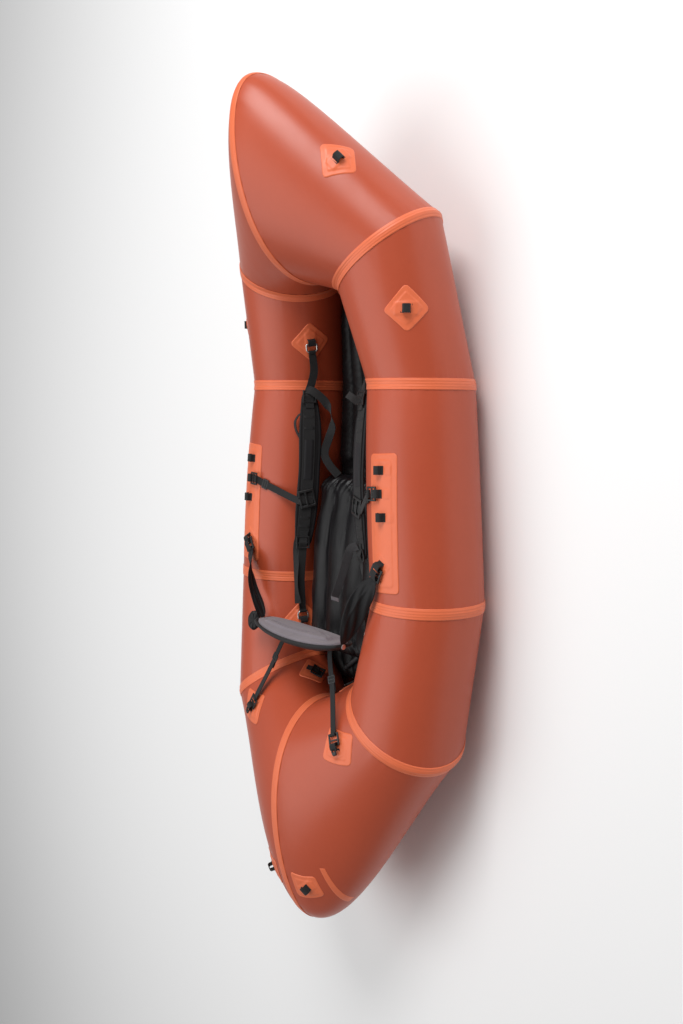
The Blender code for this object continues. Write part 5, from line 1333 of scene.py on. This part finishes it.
def mat():
    """The inflated floor mat with its chambers and creases."""
    front, rear = mat_reach()
    shares = np.unique(np.concatenate([np.linspace(0, 0.03, 10), np.linspace(0.03, 0.97, 200),
                                       np.linspace(0.97, 1, 10)]))
    ys = front + (rear - front) * shares
    across = np.linspace(-1, 1, 193)
    top_rows, rims, lows = [], [], []
    for share, y in zip(shares, ys):
        low, thick = mat_level(y)
        thick += MAT_FORE_RISE * smooth_step((y - 0.125) / 0.05) * smooth_step((front - y) / 0.10)
        end = min(share, 1 - share) / 0.045
        full = np.sqrt(max(1 - (1 - min(end, 1)) ** 2, 0)) * 0.60 + 0.40
        top = low + thick * full
        middle = low + thick * full / 2
        foot = wall_x(y, low + thick / 3) - MAT_CLEAR
        waist = wall_x(y, middle) - MAT_CLEAR
        crest = min(wall_x(y, top) - 2 * MAT_CLEAR, waist - MAT_CLEAR / 4)
        top_rows.append((crest, top, full))
        rims.append((waist, middle))
        lows.append((foot, low))
    x = np.array([crest * across for crest, _, _ in top_rows])
    y = np.repeat(ys[:, None], len(across), axis=1)
    edge = np.clip((np.abs(across) - 5 / 6) * 6, 0, 1)
    near = 1 - smooth_step(edge * 1.2)
    z = np.array([top + pillow(crest * across, crest, MAT_CHAMBERS, 0.0125 * full) * near - 0.0045 * edge**5
                  for crest, top, full in top_rows])
    z += 0.0016 * fine_folds(x, y, 5, 260, 0.16) * np.array([full for _, _, full in top_rows])[:, None]
    z += 0.0007 * np.sin(y * 310 + 5 * np.sin(x * 30)) * smooth_step((0.5 - np.abs(y - 0.15)) / 0.2)
    top = np.stack([x, y, z], axis=-1)
    sides = []
    for s in (-1, 1):
        edge = top[:, 0 if s < 0 else -1]
        waist = np.array([[s * w, yy, m] for (w, m), yy in zip(rims, ys)])
        foot = np.array([[s * f, yy, l] for (f, l), yy in zip(lows, ys)])
        bulge = waist * 2 - (edge + foot) / 2
        sides.append([(1 - t) ** 2 * edge + 2 * (1 - t) * t * bulge + t * t * foot
                      for t in np.linspace(0, 1, 9)[1:]])
    rows = np.concatenate([np.stack(sides[0][::-1], axis=1), top, np.stack(sides[1], axis=1)], axis=1)
    made = loft("floor_mat_cover", rows, BLACK, "hull", nodes=["floor_mat"], slot="black_fabric", sharp=70.0)


def filling_tube():
    """The mat's filling tube, lying on its base near the stern."""
    y = mat_reach()[1] + TUBE_FROM_END
    low, thick = mat_level(y)
    turn = radians(TUBE_TURN)
    way = np.array([cos(turn), sin(turn), 0.0])
    base = np.array([0.0, y, low + thick])
    turned("floor_mat_tube_base", (base, X_AXIS, Y_AXIS, Z_AXIS),
           [(0.0135, -0.010), (0.0135, 0.0012), (0.0125, 0.0030), (0.0100, 0.0046), (0.0090, 0.0090),
            (0.0020, 0.0094)], RUBBER, "hull", "valve_plastic", 40)
    tube = (base + Z_AXIS * (TUBE_RADIUS + 0.0070), np.cross(Z_AXIS, way), Z_AXIS, way)
    ribs = [(TUBE_RADIUS + (0.0008 if k % 2 else 0.0), 0.004 + 0.0035 * k) for k in range(14)]
    turned("floor_mat_fill_tube", tube, [(0.0020, -0.004), (TUBE_RADIUS, -0.003)] + ribs
           + [(TUBE_RADIUS * 0.86, 0.054), (TUBE_RADIUS * 0.86, 0.062), (TUBE_RADIUS * 1.12, 0.0625),
              (TUBE_RADIUS * 1.12, 0.0725), (TUBE_RADIUS * 0.8, 0.0740), (0.0018, 0.0742)], RUBBER, "hull",
           "valve_plastic", 32)


SEAT_REAR_RISE, SEAT_REAR_SPREAD, SEAT_FOOT = 0.018, 0.022, 0.014
# Down the seat's side: share of the half width, what is taken off it, and share of the height.
SEAT_SIDE = ((0.999, 0.0, 0.78), (1.0, 0.0, 0.62), (1.0, 0.0, 0.46), (0.998, 0.0, 0.30), (1.0, 0.003, 0.16),
             (1.0, 0.007, 0.05), (1.0, SEAT_FOOT, 0.0))


def seat_outline(share):
    """Length, underside and half width of the seat at a share of its length from the front."""
    y = SEAT_FRONT + (SEAT_REAR - SEAT_FRONT) * share
    low, thick = mat_level(y)
    low += thick + GAP
    half = min(SEAT_HALF, wall_x(y, low + SEAT_THICK) - MAT_CLEAR)
    return y, low, half


INFLATE_FRAMES = 18


def inflate(name, points, faces, held, firm, pressure, slack, cap):
    """Blow up the free part of a shape as cloth, and give back where its points end."""
    points = np.asarray(points, float).reshape(-1, 3)
    scene = bpy.context.scene
    mesh = bpy.data.meshes.new(name)
    mesh.from_pydata(points.tolist(), [], [tuple(int(i) for i in face) for face in faces])
    made = bpy.data.objects.new(name, mesh)
    scene.collection.objects.link(made)
    fix_normals(made)
    group = made.vertex_groups.new(name="held")
    group.add([int(i) for i in np.flatnonzero(held)], 1.0, "REPLACE")
    taut = made.vertex_groups.new(name="taut")
    for k, value in enumerate(firm):
        taut.add([k], float(value), "REPLACE")
    cloth = made.modifiers.new("Cloth", "CLOTH")
    cloth.point_cache.frame_start, cloth.point_cache.frame_end = 1, INFLATE_FRAMES
    values = cloth.settings
    values.quality, values.mass, values.air_damping = 6, 0.25, 1.0
    values.tension_stiffness, values.compression_stiffness, values.shear_stiffness = 18.0, 18.0, 6.0
    values.bending_stiffness = 0.12
    values.use_pressure, values.uniform_pressure_force = True, pressure
    values.shrink_min, values.shrink_max = -slack, 0.002
    values.vertex_group_shrink = "taut"
    values.vertex_group_mass = "held"
    values.effector_weights.gravity = 0.0
    cloth.collision_settings.use_collision = False
    for frame in range(1, INFLATE_FRAMES + 1):
        scene.frame_set(frame)
    shown = made.evaluated_get(bpy.context.evaluated_depsgraph_get())
    moved = np.empty(len(points) * 3)
    shown.data.vertices.foreach_get("co", moved)
    moved = moved.reshape(-1, 3)
    bpy.data.objects.remove(made)
    scene.frame_set(1)
    step = moved - points
    far = np.linalg.norm(step, axis=1, keepdims=True)
    return points + step * np.minimum(1.0, cap / np.maximum(far, 1e-9))


def seat():
    """The inflated seat: four full chambers between welded channels, puckered at its ends."""
    count, around = 132, 97
    rng = np.random.default_rng(11)
    phases = rng.uniform(0, 2 * pi, 8)
    shares = np.concatenate([[0.0, 0.004], np.linspace(0.010, 0.990, count - 3), [0.996, 1.0]])
    x = np.linspace(-1, 1, around)
    t = (x + 1) / 2 * SEAT_CHAMBERS
    channel = np.abs(t - np.round(t)) < 0.021
    channel[0] = channel[-1] = False
    outer = np.clip((np.abs(x) - 0.75) / 0.25, 0, 1)
    sections, held, firm = [], [], []
    for share in shares:
        y, low, half = seat_outline(share)
        end = min(share, 1 - share)
        full = sqrt_end(end / 0.075)
        half = half * (0.90 + 0.10 * sqrt_end(end / 0.10)) - 0.004 * 4 * share * (1 - share)
        rear = smooth_step((share - 0.08) / 0.30) * smooth_step((1.0 - share) / 0.40)
        tall = SEAT_THICK * (0.10 + 0.90 * full) + SEAT_REAR_RISE * rear
        half = max(half, min(half + SEAT_REAR_SPREAD * rear, wall_x(y, low + SEAT_THICK) - 0.003))
        base = low + (SEAT_THICK - min(tall, SEAT_THICK)) * 0.36
        inner = half - 0.002
        chamber = pillow(inner * x, inner, SEAT_CHAMBERS, 0.0130 * full) * (1 - smooth_step(outer * 1.1))
        top = base + tall - 0.0090 + 0.0070 * (1 - x**2) + chamber - 0.0080 * full * outer**5
        pleats = sum(1 - 2 * np.abs(np.sin(pi * (t + 3.0 * end) * (2.1 + 1.3 * n) + phases[n]))
                     for n in range(4))
        top += 0.0024 * np.exp(-((end - 0.02) / 0.055) ** 2) * full * pleats
        points = [(xx * inner, y, zz) for xx, zz in zip(x, top)]
        right = [(half * wide - less, y, base + tall * high) for wide, less, high in SEAT_SIDE]
        left = [(-a, b, c) for a, b, c in right[::-1]]
        under = [(h, y, base) for h in np.linspace(half - SEAT_FOOT, -half + SEAT_FOOT, 14)[1:-1]]
        sections.append(left + points + right + under)
        fixed = np.ones(len(sections[-1]), bool)
        fixed[4:len(left) + around + 3] = False
        if 0.07 < share < 0.93:
            fixed[len(left):len(left) + around] |= channel
        if end < 0.003:
            fixed[:] = True
        held.append(fixed)
        firm.append(np.full(len(fixed), float(smooth_step(end / 0.16))))
    grid = np.array(sections)
    faces = loft_faces(*grid.shape[:2])
    blown = inflate("seat_cloth", grid, faces, np.concatenate(held),
                    np.concatenate(firm), 5.0, 0.060, 0.012)
    made = piece("seat_cover", blown, faces, SEAT, "hull", ["seat_cushion"], "black_fabric", sharp=75.0)
    fix_normals(made)


def sqrt_end(t):
    """A quarter circle's height, from nought to one."""
    t = min(max(t, 0.0), 1.0)
    return (1 - (1 - t) ** 2) ** 0.5


# ---------------------------------------------------------------- gathered end, valve, small pieces
def gathered_end():
    """The loose end of the port wing, gathered into a small round bunch beside the backband."""
    middle, out = np.array([-0.2225, -0.3240, 0.3590]), unit(np.array([0.50, 0.12, 0.86]))
    half_wide, half_tall = 0.0190, 0.0290
    up = unit(Y_AXIS - out * out[1])
    aside = np.cross(up, out)
    angles = turns(96)
    edge = 1.0 + 0.055 * np.abs(np.sin(3.5 * angles + 0.4)) + 0.03 * np.sin(2 * angles + 1.0)
    sections = []
    for size, high in ((0.10, -0.0050), (0.62, -0.0062), (0.90, -0.0048), (1.0, -0.0014), (1.0, 0.0014),
                       (0.92, 0.0046), (0.66, 0.0072), (0.34, 0.0060), (0.10, 0.0064)):
        folds = 0.0016 * np.cos(7 * angles) * size * (1 - size * 0.4) * np.sign(high)
        sections.append([middle + aside * half_wide * size * e * cos(t) + up * half_tall * size * e * sin(t)
                         + out * (high + f) for t, e, f in zip(angles, edge, folds)])
    loft("backband_port_gathered_end", sections, BLACK, "backband", slot="webbing", sharp=60.0)


VALVE = ("stern", 0.50, 195.0, 0.0)


def valve():
    """The main valve: a flange that follows the skin, its neck and the plunger."""
    place = place_on(*VALVE)
    angles = turns(96)
    rings = [skin(*VALVE, r * np.cos(angles), r * np.sin(angles), lift)
             for r, lift in ((0.0320, 0.0004), (0.0320, 0.0018), (0.0312, 0.0026), (0.0290, 0.0030),
                             (0.0275, 0.0046), (0.0255, 0.0050))]
    body = [[at(place, r * cos(t), r * sin(t), h) for t in angles]
            for r, h in ((0.0240, 0.0050), (0.0180, 0.0050), (0.0180, 0.0124), (0.0174, 0.0130),
                         (0.0136, 0.0130), (0.0130, 0.0124), (0.0130, -0.0140), (0.0210, -0.0140),
                         (0.0210, 0.0006))]
    loft("valve_flange_and_neck", rings + body, RUBBER, "hull", True, nodes=["valve_body"],
         slot="valve_plastic", sharp=35.0)
    top = 0.0126
    turned("valve_plunger_stem", place,
           [(0.0020, -0.0110), (0.0120, -0.0110), (0.0126, -0.0104), (0.0126, -0.0076), (0.0120, -0.0070),
            (0.0040, -0.0070), (0.0035, -0.0064), (0.0035, top - 0.0044), (0.0042, top - 0.0040),
            (0.0062, top - 0.0040), (0.0065, top - 0.0036), (0.0065, top - 0.0006), (0.0060, top),
            (0.0015, top)], RUBBER, "valve_plunger", "valve_plastic", 48, nodes=["valve_plunger"])


def valve_cap():
    """The cap's cup, the grip across it and the knurl round it."""
    place = place_on(*VALVE)
    inside, outside, lid, low = 0.0184, 0.0214, 0.0134, 0.0053
    turned("valve_cap_cup", place,
           [(0.0030, lid), (inside, lid), (inside, low), (outside - 0.0006, low), (outside, low + 0.0006),
            (outside, lid + 0.0020), (outside - 0.0010, lid + 0.0030), (0.0030, lid + 0.0030)],
           RUBBER, "valve_cap", "valve_plastic", 72, nodes=["valve_cap"])
    half, thick = 0.0171, 0.0025
    outline = [(half * cos(t), thick * sin(t)) for t in np.linspace(0, 2 * pi, 41)[:-1]]
    sections = [[at(place, np.sign(a) * half * abs(a / half) ** 0.5 * w, b * w2, lid + h) for a, b in outline]
                for h, w, w2 in ((0.0015, 1.0, 1.15), (0.0050, 1.0, 1.0), (0.0098, 0.97, 0.9),
                                 (0.0110, 0.90, 0.5))]
    loft("valve_cap_grip", sections, RUBBER, "valve_cap", slot="valve_plastic", sharp=50.0)
    tooth, knurl = (0.0003, 0.0009, 0.0009, 0.0003), []
    for k, t in enumerate(turns(36 * 4)):
        knurl.append([at(place, (outside + dr * tooth[k % 4] / 0.0009) * cos(t),
                         (outside + dr * tooth[k % 4] / 0.0009) * sin(t), h)
                      for dr, h in ((-0.0010, low + 0.001), (0.0009, low + 0.0016), (0.0009, lid + 0.0008),
                                    (-0.0010, lid + 0.0014))])
    loft("valve_cap_knurl", knurl, RUBBER, "valve_cap", True, slot="valve_plastic")


def small_sheet(name, spot, length, width, side, high=PATCH_HIGH, inner=True):
    """A thin welded piece on the skin that is only a look."""
    corner = min(length, width) * 0.12
    a, b = corner_grid(length, width, corner, 0.0026)
    lift = sheet_lift(a, b, length, width, corner, high)
    if inner:
        lift += step_up(box_distance(a, b, length * INNER_SHARE, width * INNER_SHARE, INNER_CORNER), 0.0012)
    lay_sheet(name, spot, a, b, lift, side)


INNER_PATCH, STERN_LABEL = ("stern", 0.391, 175.7), ("stern", 0.709, 25.4, -62.0)


def extras(side):
    """The small inner stern patch with its buckle, and the bare label strip on the stern."""
    small_sheet(f"inner_patch_{side}", (*INNER_PATCH, -30.0), 0.072, 0.072, side)
    place = place_on(*INNER_PATCH, 60.0)
    line = both_ways([(-0.024, 0.0034), (-0.016, 0.0040), (-0.010, 0.0062), (0.0, 0.0078)])
    strap(f"inner_patch_{side}_webbing", [at(place, h, 0, n) for h, n in line], 0.018, place[2], 4, 0.0018,
          "hull", side)
    frame_piece(f"inner_patch_{side}_buckle", at(place, 0.006, 0, 0.0085), place[2], place[1],
                [(-0.014, -0.0095), (0.004, 0.0085), (0.019, 0.025)], 0.036, "hull", side, 0.0055, 0.0046,
                0.003)
    small_sheet(f"stern_label_{side}", STERN_LABEL, 0.150, 0.020, side, 0.0007, False)


# ---------------------------------------------------------------- build
for side in SIDES:
    for panel in PANEL_NODES:
        hull_panel(panel, side)
    for name in JOINTS:
        joint_tape(name, side)
    for name in PATCHES:
        patch(name, side)
    place, bar = lock_at("side_patch", 3)
    ladder_lock(f"backband_{side}_lock", bar, place[2], place[1], f"ladder_lock_{side}", side, 1.12, 0.0018,
                [f"backband_ladder_lock_{side}"])
    front_strap(side)
    rear_strap(side)
    thigh_pad(side)
    for name in ("front", "rear"):
        thigh_webbing(side, name)
    side_strap(side)
    extras(side)
loose_ends()
centre_tape("bow_centre_tape", "bow", BOW_RING)
centre_tape("stern_centre_tape", "stern", STERN_RING)
floor_sheet()
backband()
mat()
filling_tube()
seat()
valve()
valve_cap()
gathered_end()


# ---------------------------------------------------------------- studio
def studio():
    """A white ground, a pale world, a key light over the bow and a soft top light."""
    floor = Shader("studio_floor_look", (0.93, 0.93, 0.93), 0.9)
    floor.tint(floor.noise(0.6, 2.0), (0.995, 0.995, 0.995), (1.0, 1.0, 1.0))
    bpy.ops.mesh.primitive_plane_add(size=40, location=(0, 0, -0.0005))
    ground = bpy.context.object
    ground.name = "studio_floor"
    ground.data.materials.append(floor.material)
    world = bpy.data.worlds.new("studio_world")
    bpy.context.scene.world = world
    world.use_nodes = True
    world.node_tree.nodes["Background"].inputs["Color"].default_value = (1.0, 1.0, 1.0, 1.0)
    world.node_tree.nodes["Background"].inputs["Strength"].default_value = 0.27
    bpy.context.scene.view_settings.view_transform = "Standard"

    def area(name, place, target, size, power):
        light = bpy.data.lights.new(name, "AREA")
        light.shape = "RECTANGLE"
        light.size, light.size_y = size
        light.energy = power
        made = bpy.data.objects.new(name, light)
        made.location = place
        made.rotation_euler = (Vector(target) - Vector(place)).to_track_quat("-Z", "Y").to_euler()
        bpy.context.scene.collection.objects.link(made)

    area("key_bow", (1.45, 3.9, 3.0), (0, 0.3, 0.2), (2.4, 2.4), 180)
    area("top_soft", (-0.9, -0.5, 4.2), (0, 0, 0.1), (4.0, 5.0), 112)


FOCAL_PIXELS, PHOTO_HEIGHT = 1024.38, 1024


def camera():
    """The camera fitted to the photo."""
    data = bpy.data.cameras.new("photo_camera")
    data.sensor_fit = "VERTICAL"
    data.sensor_height = 36.0
    data.lens = FOCAL_PIXELS * data.sensor_height / PHOTO_HEIGHT
    made = bpy.data.objects.new("photo_camera", data)
    right = Vector((0.58090907, 0.00681862, -0.8139399))
    up = Vector((-0.09392187, 0.9938472, -0.05870629))
    forward = Vector((-0.8085316, -0.11054978, -0.57797526))
    turn = Matrix((right, up, -forward)).transposed().to_4x4()
    made.matrix_world = Matrix.Translation((2.38790389, 0.34092777, 1.90507931)) @ turn
    bpy.context.scene.collection.objects.link(made)
    bpy.context.scene.camera = made


studio()
camera()
bpy.context.view_layer.update()
